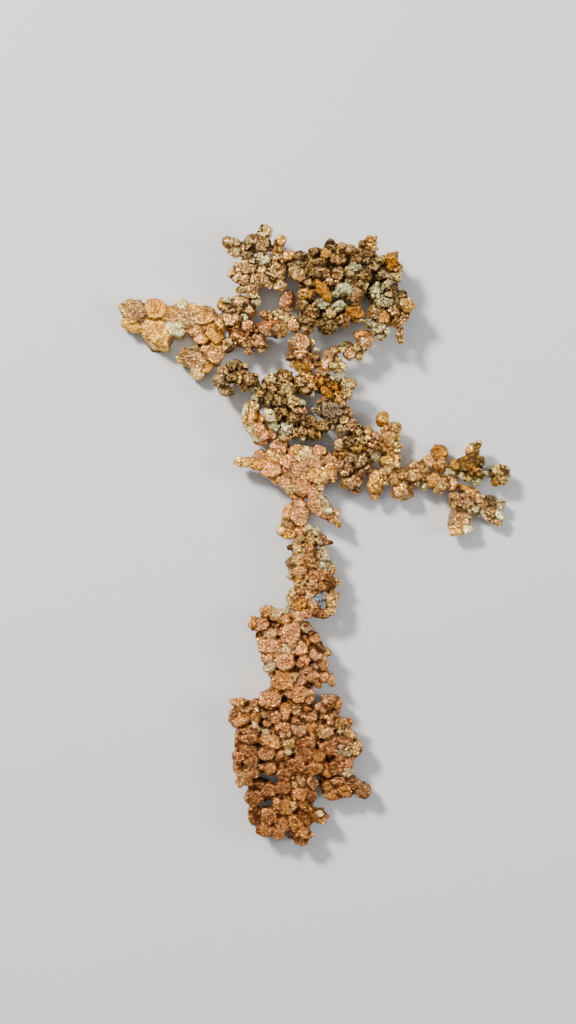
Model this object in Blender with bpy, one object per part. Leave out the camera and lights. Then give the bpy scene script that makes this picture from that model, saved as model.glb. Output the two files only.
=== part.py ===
"""Native copper nugget: a flat, branching cluster of copper crystals, lying on its back.

Every branch is a cluster of crystals grown into each other, and is one closed solid.
The cluster is split only at its main forks, with a narrow gap at each fork.
Frame: +X to the right and +Y along the length, seen from above; +Z up, the table at z = 0.
"""
import math
import random

import bmesh
import bpy
from mathutils import Euler, Matrix, Vector

MM = 0.001

# Driving dimensions, in millimetres. The crystals below span 49 mm in X and 77 mm in Y.
FORK_GAP = 0.42               # how far a branch keeps back from the branch that carries it
FULLNESS = 1.14               # a crystal's corners stand this far outside its rounded outline
NUGGET = 1.15                 # a front crystal's thickness over its width
PLATE = 0.95                  # the same for the broader crystals behind
BLOCK = 1.3                   # the same where the crown is thickest
HEIGHT_SPREAD = 0.22          # how far a crystal sits above or below its layer's middle
TILT = math.radians(14)       # how far a crystal leans
FACET_SHARE = 0.40            # facets kept when the slivers between crystals are merged
SPACE = (120.0, 120.0, 40.0)  # a box that holds the whole cluster

# Unit crystals, as corner points. Copper grows as cubes, cuboctahedra and rhombic dodecahedra.
CUBE = [(x, y, z) for x in (-1, 1) for y in (-1, 1) for z in (-1, 1)]
CUBOCTAHEDRON = [p for a in (-1, 1) for b in (-1, 1) for p in ((a, b, 0), (a, 0, b), (0, a, b))]
DODECAHEDRON = CUBE + [p for a in (-2, 2) for p in ((a, 0, 0), (0, a, 0), (0, 0, a))]
FORMS = (CUBOCTAHEDRON, CUBOCTAHEDRON, DODECAHEDRON, DODECAHEDRON, CUBE)

# Each cluster is a list of layers: the height of the layer's middle, how thick its crystals
# are, and the crystals as (x, y, length, width, turn in degrees), in millimetres.
TRUNK = [
    (3.5, NUGGET, [
        (-6.1, -9.5, 1.7, 1.4, -10), (-4.7, -9.7, 1.7, 1.1, -20), (-7.8, -11.0, 1.8, 1.2, 80),
        (-6.8, -11.1, 2.0, 1.5, 20), (-5.7, -12.0, 2.3, 2.0, -20), (-3.7, -10.4, 2.6, 1.4, 0),
        (-2.4, -10.2, 1.7, 1.4, 0), (-3.1, -12.2, 3.3, 2.8, 80), (-1.0, -11.7, 1.6, 1.1, -30),
        (-0.4, -12.4, 4.6, 0.9, -52), (-0.1, -12.9, 1.4, 1.3, 0), (-5.8, -13.7, 2.6, 2.1, -10),
        (-2.0, -14.1, 2.3, 1.8, 15), (-3.9, -15.6, 2.9, 2.8, 80), (-5.9, -15.2, 1.6, 1.4, 0),
        (-5.7, -16.5, 1.6, 1.3, 0), (-1.5, -15.6, 1.8, 1.5, 60), (0.2, -14.9, 1.9, 1.6, 0),
        (1.5, -14.6, 1.3, 0.9, -20), (0.7, -16.0, 1.8, 1.6, 80), (-1.2, -16.8, 1.6, 1.1, 0),
        (-3.9, -18.1, 3.1, 2.3, 10), (-1.9, -18.1, 1.8, 1.6, 0), (-0.1, -17.7, 2.2, 1.6, 0),
        (1.1, -17.7, 1.6, 1.5, 0), (1.9, -18.1, 1.7, 1.0, -70), (-2.1, -19.8, 2.6, 2.2, -10),
        (-5.7, -20.5, 3.0, 2.5, 10), (-0.7, -20.2, 1.5, 1.1, 60), (-3.8, -22.0, 2.5, 1.6, 85),
        (-5.1, -22.7, 2.0, 1.6, 35), (-4.1, -23.9, 1.9, 1.6, 0), (-2.2, -21.8, 1.2, 1.6, 80),
        (-1.0, -22.3, 2.6, 1.8, -30), (-0.5, -23.9, 2.1, 1.5, -70), (-2.0, -24.3, 2.1, 1.8, 0),
        (-3.5, -25.8, 2.0, 1.7, 80), (-5.6, -25.7, 2.7, 1.9, -20), (-6.1, -27.2, 2.2, 1.9, 0),
        (-4.5, -27.5, 2.0, 1.8, 60), (-1.2, -25.8, 2.6, 1.8, -10), (-1.3, -27.2, 2.6, 1.8, -10),
        (0.4, -27.5, 1.6, 1.4, 0), (-2.4, -28.7, 2.5, 2.0, -20), (-3.9, -29.8, 2.1, 1.6, 20),
        (-5.7, -29.0, 1.9, 1.6, 80), (-0.2, -29.0, 2.5, 1.5, 10)]),
    (1.7, PLATE, [
        (-4.2, -10.9, 3.6, 2.4, 0), (-5.6, -12.9, 4.2, 3.2, 80), (-2.0, -12.7, 4.4, 3.4, -50),
        (-3.7, -15.8, 5.0, 3.6, 10), (-0.2, -16.4, 3.2, 3.0, 70), (-2.6, -18.7, 5.0, 3.6, 0),
        (-4.6, -21.4, 4.4, 3.4, 20), (-2.0, -23.4, 4.4, 3.6, -40), (-5.0, -25.5, 4.4, 3.8, 10),
        (-6.9, -24.6, 3.2, 2.6, 0), (-6.8, -28.0, 3.0, 2.6, 40),
        (-1.6, -26.6, 4.0, 3.6, 0), (-3.8, -28.6, 4.6, 3.0, 0)])]
TAIL = [
    (3.3, NUGGET, [
        (-1.8, -30.6, 1.7, 1.5, 0), (-0.6, -30.9, 2.0, 1.8, 90), (-4.0, -31.4, 2.1, 1.8, 0),
        (-5.7, -31.8, 2.0, 1.7, 0), (-1.9, -32.2, 2.3, 1.9, 0), (-0.5, -32.4, 1.8, 1.4, 80),
        (-7.7, -32.8, 2.3, 1.9, 0), (-4.8, -33.4, 1.4, 1.1, 80), (-3.6, -33.9, 2.0, 1.9, 0),
        (-1.6, -33.8, 2.6, 1.6, -25), (0.5, -35.1, 2.0, 1.6, -40), (-7.7, -34.9, 2.3, 1.4, 80),
        (-5.9, -35.0, 2.4, 2.0, 0), (-4.2, -36.0, 2.1, 1.6, -30), (-2.5, -35.9, 2.5, 1.9, -30),
        (-6.3, -36.8, 2.5, 1.6, -10), (-4.8, -37.2, 1.7, 1.3, -20), (-1.6, -37.1, 2.0, 1.7, -40),
        (-1.8, -38.0, 1.8, 1.3, -20)]),
    (1.6, PLATE, [
        (-2.2, -31.6, 4.4, 2.8, 0), (-6.7, -32.0, 3.2, 2.2, -30), (-2.0, -34.6, 4.2, 3.4, -40),
        (-5.8, -35.7, 4.2, 3.0, -10), (-2.6, -36.9, 3.6, 2.8, -30)])]
TRUNK_LEFT = [
    (3.3, NUGGET, [
        (-9.6, -20.9, 2.2, 1.1, 0), (-8.5, -21.5, 1.9, 1.1, -10), (-9.4, -22.9, 2.5, 2.3, 20),
        (-7.5, -22.7, 1.7, 1.5, 80), (-8.2, -24.2, 2.9, 1.3, 0), (-8.3, -25.4, 2.2, 1.4, 0),
        (-8.5, -26.8, 1.9, 1.8, 0), (-8.1, -28.2, 2.0, 1.6, 0), (-9.6, -27.6, 1.6, 1.5, 30),
        (-7.9, -29.5, 1.8, 1.5, 0), (-9.0, -30.4, 1.9, 1.6, 40), (-7.6, -20.9, 1.2, 0.9, 30)]),
    (1.6, PLATE, [
        (-9.0, -22.6, 3.2, 3.0, 0), (-8.6, -25.6, 3.6, 2.8, 80), (-8.9, -28.8, 3.8, 2.4, 80)])]
TRUNK_RIGHT = [
    (3.3, NUGGET, [
        (0.7, -21.6, 1.8, 1.4, 0), (1.7, -20.7, 1.8, 1.5, 0), (2.5, -21.0, 1.5, 1.5, 0),
        (1.5, -22.8, 2.6, 1.2, -5), (3.3, -23.4, 1.8, 1.4, 0), (4.2, -23.2, 1.1, 0.8, 0),
        (1.1, -24.4, 2.3, 1.7, 0), (4.0, -24.6, 1.9, 1.1, -45), (3.5, -25.8, 2.2, 1.8, 0),
        (5.1, -26.6, 1.9, 1.6, 70), (1.8, -26.3, 2.2, 2.0, 70), (3.2, -27.5, 1.7, 1.3, 0),
        (3.9, -28.4, 1.8, 1.6, 70), (4.0, -29.5, 1.3, 1.2, 0), (2.5, -28.9, 1.8, 1.8, 0),
        (1.4, -29.3, 1.9, 1.8, 0)]),
    (1.6, PLATE, [
        (1.9, -21.8, 3.2, 2.4, 80), (1.9, -24.2, 3.4, 2.8, 0), (3.5, -26.2, 3.4, 3.0, 60),
        (2.6, -28.5, 3.6, 2.6, 20)])]
TOE = [
    (2.6, NUGGET, [
        (1.6, -31.4, 2.2, 2.0, 0), (2.7, -30.7, 2.0, 1.1, 0), (2.2, -32.2, 2.4, 1.9, 0),
        (3.6, -31.9, 2.0, 1.8, 0), (4.9, -31.1, 2.3, 1.4, -40), (5.9, -32.0, 2.0, 1.7, 0)]),
    (1.3, PLATE, [(2.4, -31.6, 3.2, 2.6, 10), (4.7, -31.7, 2.8, 1.8, -20)])]
STEM = [
    (3.5, NUGGET, [
        (-0.9, 0.8, 1.4, 1.0, 30), (0.1, 0.5, 1.2, 0.9, -30), (-1.9, -0.7, 1.5, 1.2, 20),
        (-0.5, -0.4, 1.5, 1.2, -40), (0.8, -0.7, 1.4, 1.2, 60), (-2.2, -1.9, 1.6, 1.3, 70),
        (-0.8, -1.9, 1.6, 1.3, -60), (1.1, -2.3, 2.0, 1.0, -75), (-3.1, -1.6, 1.0, 0.8, 0),
        (-2.2, -3.2, 1.7, 1.3, 10), (-3.2, -3.5, 1.2, 1.1, 80), (-0.5, -3.4, 1.8, 1.4, -50),
        (1.0, -3.7, 1.6, 1.3, -30), (2.1, -4.2, 1.3, 1.0, -50), (-2.0, -4.6, 1.8, 1.4, 20),
        (-0.5, -4.9, 1.5, 1.2, -20), (0.9, -4.9, 1.6, 1.3, 40), (-3.1, -5.1, 1.1, 0.9, 80),
        (-1.9, -5.9, 1.8, 1.4, 0), (-0.4, -6.3, 1.6, 1.4, 60), (1.8, -5.5, 1.6, 1.2, -30),
        (2.7, -5.8, 1.0, 0.9, 80), (1.7, -6.3, 1.4, 1.1, 10), (0.5, -6.7, 1.2, 1.1, 80),
        (-2.7, -7.2, 1.5, 1.2, 40), (-1.0, -7.4, 1.7, 1.4, -20), (-3.1, -8.0, 1.2, 1.1, 60),
        (-1.9, -8.6, 1.9, 1.5, 20), (-0.4, -8.5, 1.4, 1.3, 80), (-3.1, -9.0, 1.1, 0.9, 0),
        (-1.0, -9.7, 1.7, 1.2, 0), (0.2, -9.6, 1.5, 1.3, -50), (0.9, -9.9, 1.4, 1.1, -30),
        (2.1, -7.9, 2.0, 1.6, 70), (1.9, -6.9, 1.3, 0.9, 70), (2.0, -9.4, 1.5, 1.2, 60),
        (0.4, -7.8, 1.3, 1.0, 80)]),
    (2.4, PLATE, [
        (-0.8, -0.7, 3.0, 2.4, 60), (-0.7, -3.2, 3.6, 2.8, 20), (-0.5, -5.6, 3.6, 3.0, 0),
        (-1.3, -8.3, 3.4, 3.0, 70), (2.0, -8.6, 2.2, 1.2, 80)])]
FOOT = [
    (3.0, NUGGET, [
        (-3.2, 2.9, 2.7, 1.6, 65), (-2.1, 2.3, 3.0, 2.2, 80), (-3.5, 1.3, 1.7, 1.4, 0),
        (-4.3, 0.6, 1.3, 1.1, 60), (-3.3, 0.1, 1.7, 1.3, 10), (-2.2, 0.6, 1.7, 1.5, 0),
        (-2.0, 3.8, 1.7, 1.3, -20)]),
    (2.3, PLATE, [(-2.7, 1.8, 3.2, 2.4, 70)])]
CLAW = [
    (3.1, NUGGET, [
        (0.3, 3.5, 3.4, 1.9, -50), (1.2, 4.0, 2.2, 1.0, -55), (2.2, 2.6, 1.5, 1.2, 0),
        (2.6, 1.7, 2.0, 0.8, -52), (1.2, 2.4, 1.3, 1.0, -40), (1.9, 2.0, 1.2, 0.9, -50)])]
LOWER_SLAB = [
    (2.9, NUGGET, [
        (-4.5, 10.9, 2.4, 2.0, 60), (-5.2, 9.6, 2.4, 2.0, 0), (-5.6, 8.4, 2.6, 2.0, 0),
        (-6.9, 9.7, 1.9, 1.5, 80), (-7.2, 8.8, 1.9, 1.4, 0), (-8.5, 9.1, 1.5, 1.2, 0),
        (-9.4, 9.1, 1.6, 1.2, 0), (-3.2, 9.2, 2.4, 1.9, 0), (-1.9, 8.6, 2.5, 1.9, 20),
        (-3.1, 7.6, 2.1, 1.5, 0), (-2.4, 10.6, 1.7, 1.3, 0), (-1.2, 10.2, 2.2, 1.6, 0),
        (0.4, 10.4, 2.0, 1.4, 0), (-0.1, 9.2, 2.4, 1.7, 0), (1.4, 9.5, 2.0, 1.5, 0),
        (2.0, 7.9, 2.5, 1.5, -80), (-5.1, 7.6, 2.1, 1.4, -30), (-3.9, 6.6, 1.8, 1.4, -40),
        (0.1, 7.3, 2.6, 2.3, 0), (-1.7, 6.4, 2.8, 2.5, 0), (-3.0, 5.6, 1.5, 1.2, 0),
        (-2.1, 5.0, 2.1, 1.3, 0), (-0.3, 5.5, 2.0, 1.6, 0)]),
    (2.0, PLATE, [(-4.6, 8.8, 4.0, 2.6, -20), (-0.9, 9.3, 4.4, 2.4, 0), (-1.0, 6.6, 3.2, 2.6, 0)])]
HUB = [
    (4.2, NUGGET, [
        (-3.9, 19.7, 2.2, 1.7, 0), (-5.8, 19.2, 2.0, 1.4, 40), (-5.6, 18.3, 2.1, 1.4, -30),
        (-3.6, 18.2, 2.2, 1.6, -20), (-6.1, 16.9, 2.2, 2.0, 0), (-7.3, 17.1, 1.5, 1.1, 0),
        (-4.6, 16.7, 2.1, 1.8, -30), (-3.0, 16.7, 2.0, 1.5, -20), (-4.4, 15.2, 2.1, 1.6, 0),
        (-2.0, 15.5, 1.9, 1.3, 0), (-5.6, 14.8, 2.0, 1.4, -50), (-2.7, 14.4, 2.0, 1.5, 0),
        (-0.9, 14.1, 2.2, 1.5, 10), (-3.7, 13.2, 2.1, 1.7, 0), (-5.2, 13.5, 1.4, 1.1, 0),
        (-1.9, 12.7, 2.0, 1.5, 0), (-3.7, 12.1, 1.7, 1.1, 0), (-0.2, 12.5, 2.2, 1.5, -20),
        (0.9, 13.5, 1.9, 1.5, 0), (1.9, 15.6, 3.6, 1.8, -8), (1.2, 16.6, 2.2, 1.3, 20),
        (3.9, 15.1, 1.4, 1.2, 0), (2.3, 14.5, 2.0, 1.2, 0)]),
    (2.4, PLATE, [
        (-4.6, 18.0, 4.6, 3.4, 30), (-3.9, 14.8, 4.4, 3.6, 0), (-0.9, 13.2, 3.8, 2.4, 10),
        (2.2, 15.2, 3.8, 2.4, -10), (-2.2, 18.9, 2.6, 2.0, 0)])]
HUB_RIGHT = [
    (4.0, NUGGET, [
        (3.6, 14.2, 2.0, 1.5, -30), (3.4, 13.0, 1.8, 1.7, 0), (4.6, 13.4, 2.0, 1.6, -40),
        (5.4, 12.9, 1.7, 1.6, 80), (6.5, 12.6, 1.8, 1.5, 80), (7.3, 12.2, 1.6, 1.4, 0),
        (7.1, 11.2, 1.8, 1.3, 0), (5.8, 11.8, 1.8, 1.3, 20), (4.1, 11.6, 2.0, 1.6, 30),
        (5.3, 10.8, 2.8, 1.5, 20), (3.1, 11.2, 1.9, 1.6, 60), (3.2, 10.2, 2.0, 1.3, 0),
        (6.9, 10.3, 1.9, 1.3, 0), (4.5, 9.7, 1.8, 1.4, 0), (5.6, 9.3, 2.3, 1.3, 50),
        (3.0, 8.6, 1.5, 1.4, 0), (3.9, 8.6, 1.7, 1.6, 90)]),
    (2.2, PLATE, [(4.6, 12.4, 4.0, 3.2, -30), (5.0, 10.4, 4.4, 2.4, 0)])]
DROPS = [
    (3.0, NUGGET, [
        (6.1, 8.3, 2.8, 2.0, 45), (4.5, 6.7, 2.7, 2.4, 0), (4.8, 5.8, 1.8, 1.3, -20)])]
ORANGE_BAND = [
    (4.3, NUGGET, [
        (-1.7, 20.8, 2.2, 1.4, -20), (-1.1, 19.8, 2.2, 1.4, -35), (-1.8, 18.9, 1.7, 1.4, 0),
        (-0.6, 18.7, 1.8, 1.5, 0), (0.5, 19.0, 1.9, 1.4, -30), (-1.1, 17.9, 1.8, 1.2, 0),
        (0.7, 20.1, 1.7, 1.3, 0), (1.4, 19.3, 1.8, 1.3, 0), (2.1, 18.5, 2.0, 1.4, -10),
        (1.4, 17.7, 1.8, 1.2, -40), (4.0, 18.7, 2.0, 1.5, 0), (3.8, 17.6, 1.7, 1.5, 0),
        (2.9, 16.9, 2.0, 1.6, -40), (2.9, 19.5, 1.5, 1.0, 0)]),
    (2.9, PLATE, [(-0.2, 19.1, 4.2, 2.2, -30), (2.6, 18.2, 3.0, 2.2, -20)])]
CRESCENT = [
    (3.2, NUGGET, [
        (-8.2, 15.8, 1.6, 1.2, 0), (-8.5, 14.8, 2.1, 1.2, 80), (-7.6, 14.6, 2.1, 1.6, 0),
        (-7.9, 13.4, 1.9, 1.5, -10), (-7.0, 13.2, 1.9, 1.4, 0), (-6.8, 12.3, 2.2, 1.8, 0),
        (-5.6, 12.4, 1.5, 1.2, 0)])]
RIGHT_ARM = [
    (2.5, NUGGET, [
        (8.4, 14.5, 2.0, 1.6, 75), (9.9, 13.5, 1.8, 1.4, 0), (8.8, 13.2, 1.6, 1.2, 60),
        (9.2, 12.3, 2.1, 1.5, 0), (10.3, 12.3, 1.1, 0.8, 80), (8.9, 11.0, 2.5, 1.6, 0),
        (10.2, 11.1, 1.6, 1.1, -20), (9.6, 10.1, 1.7, 1.3, 0), (10.2, 9.6, 1.2, 1.0, 0),
        (8.9, 9.2, 2.0, 1.6, 0), (8.9, 8.2, 1.9, 1.4, 20), (9.9, 8.0, 1.9, 1.3, 0),
        (8.6, 7.2, 1.6, 1.4, -40), (9.9, 7.0, 1.7, 1.5, 70), (11.1, 7.4, 1.8, 1.6, 0),
        (12.3, 7.4, 1.9, 1.8, 0), (12.5, 8.6, 1.9, 1.2, 0), (13.4, 8.3, 1.7, 1.4, -20),
        (14.2, 9.2, 1.8, 1.7, 80), (15.5, 8.8, 1.8, 1.6, 80), (15.6, 10.4, 2.2, 1.7, -30),
        (13.6, 7.1, 1.7, 1.6, 0), (14.6, 6.9, 1.9, 1.7, 0), (15.6, 6.2, 2.1, 1.9, 0),
        (16.9, 6.4, 2.0, 1.9, -30), (12.6, 6.5, 1.1, 1.0, 0), (13.8, 6.1, 1.3, 0.9, 60),
        (7.5, 6.5, 3.0, 2.0, 85), (7.4, 4.8, 1.2, 1.0, 0), (11.0, 5.4, 2.6, 2.3, 0)]),
    (1.8, PLATE, [(9.2, 10.8, 2.6, 1.8, 80), (12.6, 7.6, 4.0, 2.0, 0), (15.8, 6.6, 2.8, 2.0, 0)])]
UPPER_TWIG = [
    (2.7, NUGGET, [
        (17.6, 8.6, 1.7, 1.5, 0), (18.5, 8.8, 1.9, 1.6, 0), (19.4, 9.3, 1.9, 1.6, 20),
        (20.3, 9.2, 1.8, 1.6, -40), (19.4, 8.0, 2.2, 1.3, -15), (20.2, 7.4, 1.5, 1.1, 0),
        (19.5, 10.6, 1.9, 1.4, 45), (20.3, 11.3, 1.3, 1.0, 45), (18.3, 7.5, 2.1, 1.1, -30),
        (16.9, 7.8, 1.7, 1.0, 0), (20.1, 6.7, 1.4, 1.1, -30), (21.4, 7.9, 1.6, 1.5, 0),
        (22.7, 8.0, 1.8, 1.4, 20), (23.7, 7.9, 1.7, 1.3, -70), (23.4, 6.9, 1.6, 1.2, -10),
        (22.6, 6.7, 1.3, 1.3, 0)])]
LOWER_TWIG = [
    (1.5, NUGGET, [
        (19.4, 5.6, 2.9, 1.1, -20), (17.6, 4.7, 1.7, 1.5, 0), (18.8, 4.7, 1.7, 1.5, 10),
        (20.5, 4.6, 2.0, 1.2, -10), (22.2, 4.4, 2.1, 1.0, -18), (23.2, 3.9, 1.2, 1.2, -20),
        (21.6, 3.7, 1.8, 1.4, 0), (17.5, 3.7, 1.5, 1.4, 0), (18.4, 3.5, 1.6, 1.5, 0),
        (19.5, 3.4, 1.8, 1.3, -50), (20.5, 3.0, 1.6, 1.2, -40), (21.3, 2.4, 1.9, 0.9, -45),
        (22.0, 3.0, 1.9, 1.4, -30), (22.9, 2.6, 2.3, 1.0, -48), (22.6, 1.8, 2.0, 1.1, -38),
        (18.1, 1.4, 3.1, 2.9, 80)])]
COLUMN = [
    (3.9, NUGGET, [
        (-2.0, 23.8, 2.5, 2.2, 0), (-0.7, 24.0, 1.3, 0.9, 0), (-1.9, 22.6, 2.0, 1.4, 0),
        (-3.0, 22.2, 1.4, 1.2, 0), (-1.3, 21.8, 2.1, 1.2, 0), (-0.2, 22.1, 1.5, 1.3, 0),
        (0.4, 21.2, 1.5, 1.2, 0)]),
    (3.0, PLATE, [(-1.6, 22.8, 3.0, 2.0, 80)])]
STRUT = [
    (3.7, NUGGET, [
        (5.9, 24.8, 2.3, 1.4, 0), (6.2, 23.9, 2.4, 1.7, 45), (5.3, 23.1, 1.8, 1.4, 0),
        (5.4, 22.4, 1.6, 1.1, 100), (4.3, 22.6, 1.7, 1.5, 0), (3.8, 23.5, 1.9, 1.3, 0),
        (2.4, 23.0, 1.6, 1.1, 0), (1.7, 22.3, 1.6, 1.4, 0), (1.5, 21.3, 2.1, 1.7, 80),
        (2.6, 21.9, 1.3, 1.0, 0), (3.3, 21.0, 1.4, 1.1, 0), (2.7, 20.6, 1.3, 1.0, 0)])]
SPUR = [
    (3.2, NUGGET, [
        (-11.5, 20.4, 1.6, 1.4, 0), (-10.5, 21.0, 1.6, 1.3, 45), (-11.7, 19.1, 2.3, 1.8, -30),
        (-11.2, 18.0, 2.0, 1.5, -20), (-9.8, 19.5, 1.8, 1.3, -50), (-9.2, 20.8, 2.8, 1.1, -48),
        (-8.8, 18.5, 1.5, 1.1, 60), (-8.2, 19.4, 2.3, 1.7, -20), (-7.4, 18.6, 1.5, 1.3, 0)])]
LEFT_ARM = [
    (1.5, NUGGET, [
        (-22.9, 28.1, 3.4, 2.3, -20), (-23.0, 26.5, 2.7, 1.9, -30), (-20.1, 28.3, 2.9, 2.5, 10),
        (-20.1, 25.6, 3.6, 2.9, 0), (-19.3, 24.0, 2.4, 1.9, -50), (-18.0, 27.6, 2.4, 2.0, 60),
        (-17.5, 25.8, 2.3, 1.9, -20), (-17.0, 28.8, 1.9, 1.3, 25), (-15.6, 28.5, 1.5, 1.2, 0),
        (-13.9, 27.6, 2.9, 2.5, -15), (-15.9, 27.0, 2.8, 2.5, -20), (-15.0, 25.7, 2.7, 1.9, -20),
        (-14.3, 24.5, 1.7, 1.5, 0), (-13.2, 25.8, 2.1, 1.8, 0), (-12.7, 22.9, 2.8, 2.4, 70),
        (-15.2, 22.1, 3.4, 2.4, -25), (-16.8, 21.8, 1.6, 1.0, -40), (-14.9, 20.4, 1.7, 1.5, 0),
        (-13.7, 21.1, 1.7, 1.4, 50)])]
LEFT_BOUGH = [
    (3.0, NUGGET, [
        (-11.6, 28.8, 1.6, 1.3, 60), (-9.5, 29.0, 2.8, 1.9, 10), (-10.5, 27.9, 2.4, 1.8, 0),
        (-8.3, 28.3, 2.4, 1.9, 80), (-7.5, 29.2, 1.9, 1.4, 80), (-10.6, 26.9, 2.8, 1.8, 5),
        (-11.9, 26.2, 1.9, 1.5, -60), (-10.2, 26.1, 2.0, 1.4, -20), (-8.4, 26.0, 1.9, 1.6, 0),
        (-7.2, 25.7, 2.0, 1.5, -20), (-9.7, 24.7, 2.3, 1.8, 65), (-10.8, 23.7, 2.0, 1.7, 50),
        (-8.5, 24.0, 1.9, 1.7, 0), (-6.9, 24.0, 2.2, 1.8, -40)]),
    (2.4, PLATE, [(-10.2, 27.4, 3.4, 2.4, 30), (-9.2, 25.2, 3.4, 2.2, -20)])]
CROSSBAR = [
    (3.5, NUGGET, [
        (-6.1, 27.4, 1.6, 1.1, 0), (-3.9, 27.0, 2.9, 1.7, -20), (-5.6, 26.2, 2.4, 1.6, 10),
        (-4.6, 25.4, 2.3, 1.7, 10), (-2.7, 26.2, 2.1, 1.5, -45), (-3.5, 29.1, 2.6, 1.9, 80),
        (-4.2, 27.9, 1.4, 1.1, 40)])]
CROWN_LEFT = [
    (3.9, NUGGET, [
        (-11.0, 36.4, 1.6, 1.3, 90), (-10.0, 36.4, 1.6, 1.3, 0), (-10.2, 35.2, 2.0, 1.3, -40),
        (-8.9, 35.8, 1.5, 1.3, 0), (-8.0, 36.5, 2.4, 1.9, 20), (-6.6, 36.1, 2.1, 2.0, 0),
        (-6.3, 37.7, 1.9, 1.7, 60), (-4.5, 36.4, 1.8, 1.3, 60), (-4.9, 35.6, 1.7, 1.2, 0),
        (-8.8, 33.3, 2.9, 2.0, 15), (-10.3, 32.5, 1.4, 1.3, 0), (-9.3, 32.0, 2.2, 1.6, -10),
        (-7.9, 31.8, 1.9, 1.3, 25), (-6.6, 34.2, 2.1, 1.7, -50), (-6.5, 33.0, 1.6, 1.4, 0),
        (-4.9, 34.4, 1.7, 1.5, 0), (-4.9, 32.5, 2.9, 2.4, 25), (-4.5, 31.0, 1.8, 1.4, 0),
        (-6.3, 31.6, 1.5, 1.3, 0), (-7.7, 30.7, 2.0, 1.3, 35), (-9.0, 30.6, 1.9, 1.1, 10),
        (-3.3, 34.6, 1.8, 1.4, 0), (-2.1, 34.7, 1.7, 1.3, 0), (-2.4, 33.5, 2.2, 1.4, 0)]),
    (2.7, PLATE, [
        (-7.6, 36.0, 3.8, 2.0, 10), (-7.9, 32.7, 3.8, 2.4, 10), (-5.0, 33.4, 3.2, 3.0, 60)])]
CROWN_RIGHT = [
    (4.8, NUGGET, [
        (-2.3, 32.3, 2.2, 1.6, -40), (-1.2, 31.5, 2.0, 1.2, -50), (0.0, 35.0, 1.7, 1.4, 0),
        (1.2, 34.9, 1.6, 1.4, 0), (0.4, 33.8, 1.9, 1.4, 0), (2.0, 35.8, 1.8, 1.4, -30),
        (3.1, 35.6, 1.8, 1.4, 0), (4.3, 35.3, 1.6, 1.4, 0), (2.8, 34.2, 2.0, 1.6, 0),
        (6.6, 36.1, 2.1, 1.8, 60), (6.4, 34.8, 2.0, 1.4, 0), (5.2, 34.1, 1.8, 1.4, 0),
        (4.7, 33.0, 2.2, 1.5, 10), (2.9, 32.4, 2.0, 1.6, 30), (0.7, 32.6, 2.1, 1.5, -5),
        (1.9, 31.5, 1.9, 1.3, 0), (5.9, 32.1, 2.1, 1.6, 0), (4.4, 31.5, 1.7, 1.3, 0),
        (7.3, 33.4, 1.9, 1.7, 0), (8.2, 32.4, 1.8, 1.5, 0), (9.5, 34.1, 2.3, 1.9, 50),
        (9.8, 33.0, 1.7, 1.5, 0), (9.6, 31.9, 2.0, 1.4, -20), (9.1, 30.9, 1.8, 1.5, 0),
        (0.9, 30.3, 3.2, 1.2, -53), (3.4, 30.3, 1.9, 1.6, 0), (5.0, 29.8, 2.3, 1.8, 80),
        (5.9, 30.7, 1.7, 1.2, 60), (7.6, 30.2, 1.9, 1.7, 40), (8.4, 29.0, 2.1, 1.5, 0),
        (10.6, 29.8, 1.5, 1.1, 0), (11.1, 28.5, 2.1, 1.7, -40)]),
    (2.1, BLOCK, [
        (-1.0, 33.4, 3.6, 3.0, -40), (2.0, 33.8, 4.4, 3.6, 0), (5.7, 34.0, 4.4, 3.8, 20),
        (8.8, 33.0, 3.8, 3.4, 60), (1.2, 31.4, 3.8, 2.6, -40), (4.6, 31.0, 4.4, 3.0, 0),
        (8.3, 30.2, 4.0, 3.2, -30)])]
CROWN_LOWER = [
    (4.4, NUGGET, [
        (-1.2, 29.9, 2.0, 1.8, 0), (-1.3, 30.9, 1.6, 1.3, 0), (-1.5, 28.5, 1.7, 1.5, 0),
        (-0.5, 27.8, 2.1, 1.8, 0),
        (-1.0, 26.5, 2.0, 1.5, 0), (-1.1, 25.6, 1.7, 1.5, 70), (0.9, 28.7, 2.0, 1.4, -20),
        (2.8, 28.4, 2.2, 1.3, 20), (1.7, 27.4, 2.1, 1.3, 40), (4.8, 27.6, 2.3, 1.9, -40),
        (3.4, 26.8, 1.8, 1.6, 0), (1.5, 25.8, 2.4, 1.8, 10)]),
    (2.9, PLATE, [(-0.9, 27.8, 3.6, 2.2, 80), (1.5, 27.4, 3.6, 3.0, 20), (3.6, 27.8, 3.0, 2.2, 0)])]
CROWN_FALL = [
    (4.2, NUGGET, [
        (7.3, 27.6, 2.1, 1.8, 60), (7.9, 28.4, 1.8, 1.5, 90), (8.3, 26.9, 1.8, 1.6, 0),
        (6.7, 26.2, 1.4, 1.1, 0),
        (9.7, 27.7, 1.8, 1.6, 0), (10.8, 27.3, 1.7, 1.4, 0), (10.2, 26.4, 2.0, 1.4, 0),
        (10.5, 25.0, 1.9, 1.1, 90), (7.9, 25.6, 2.0, 1.6, 0), (8.2, 24.6, 1.4, 1.2, 0)]),
    (2.8, PLATE, [(9.0, 27.3, 4.0, 2.4, 0)])]

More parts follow.
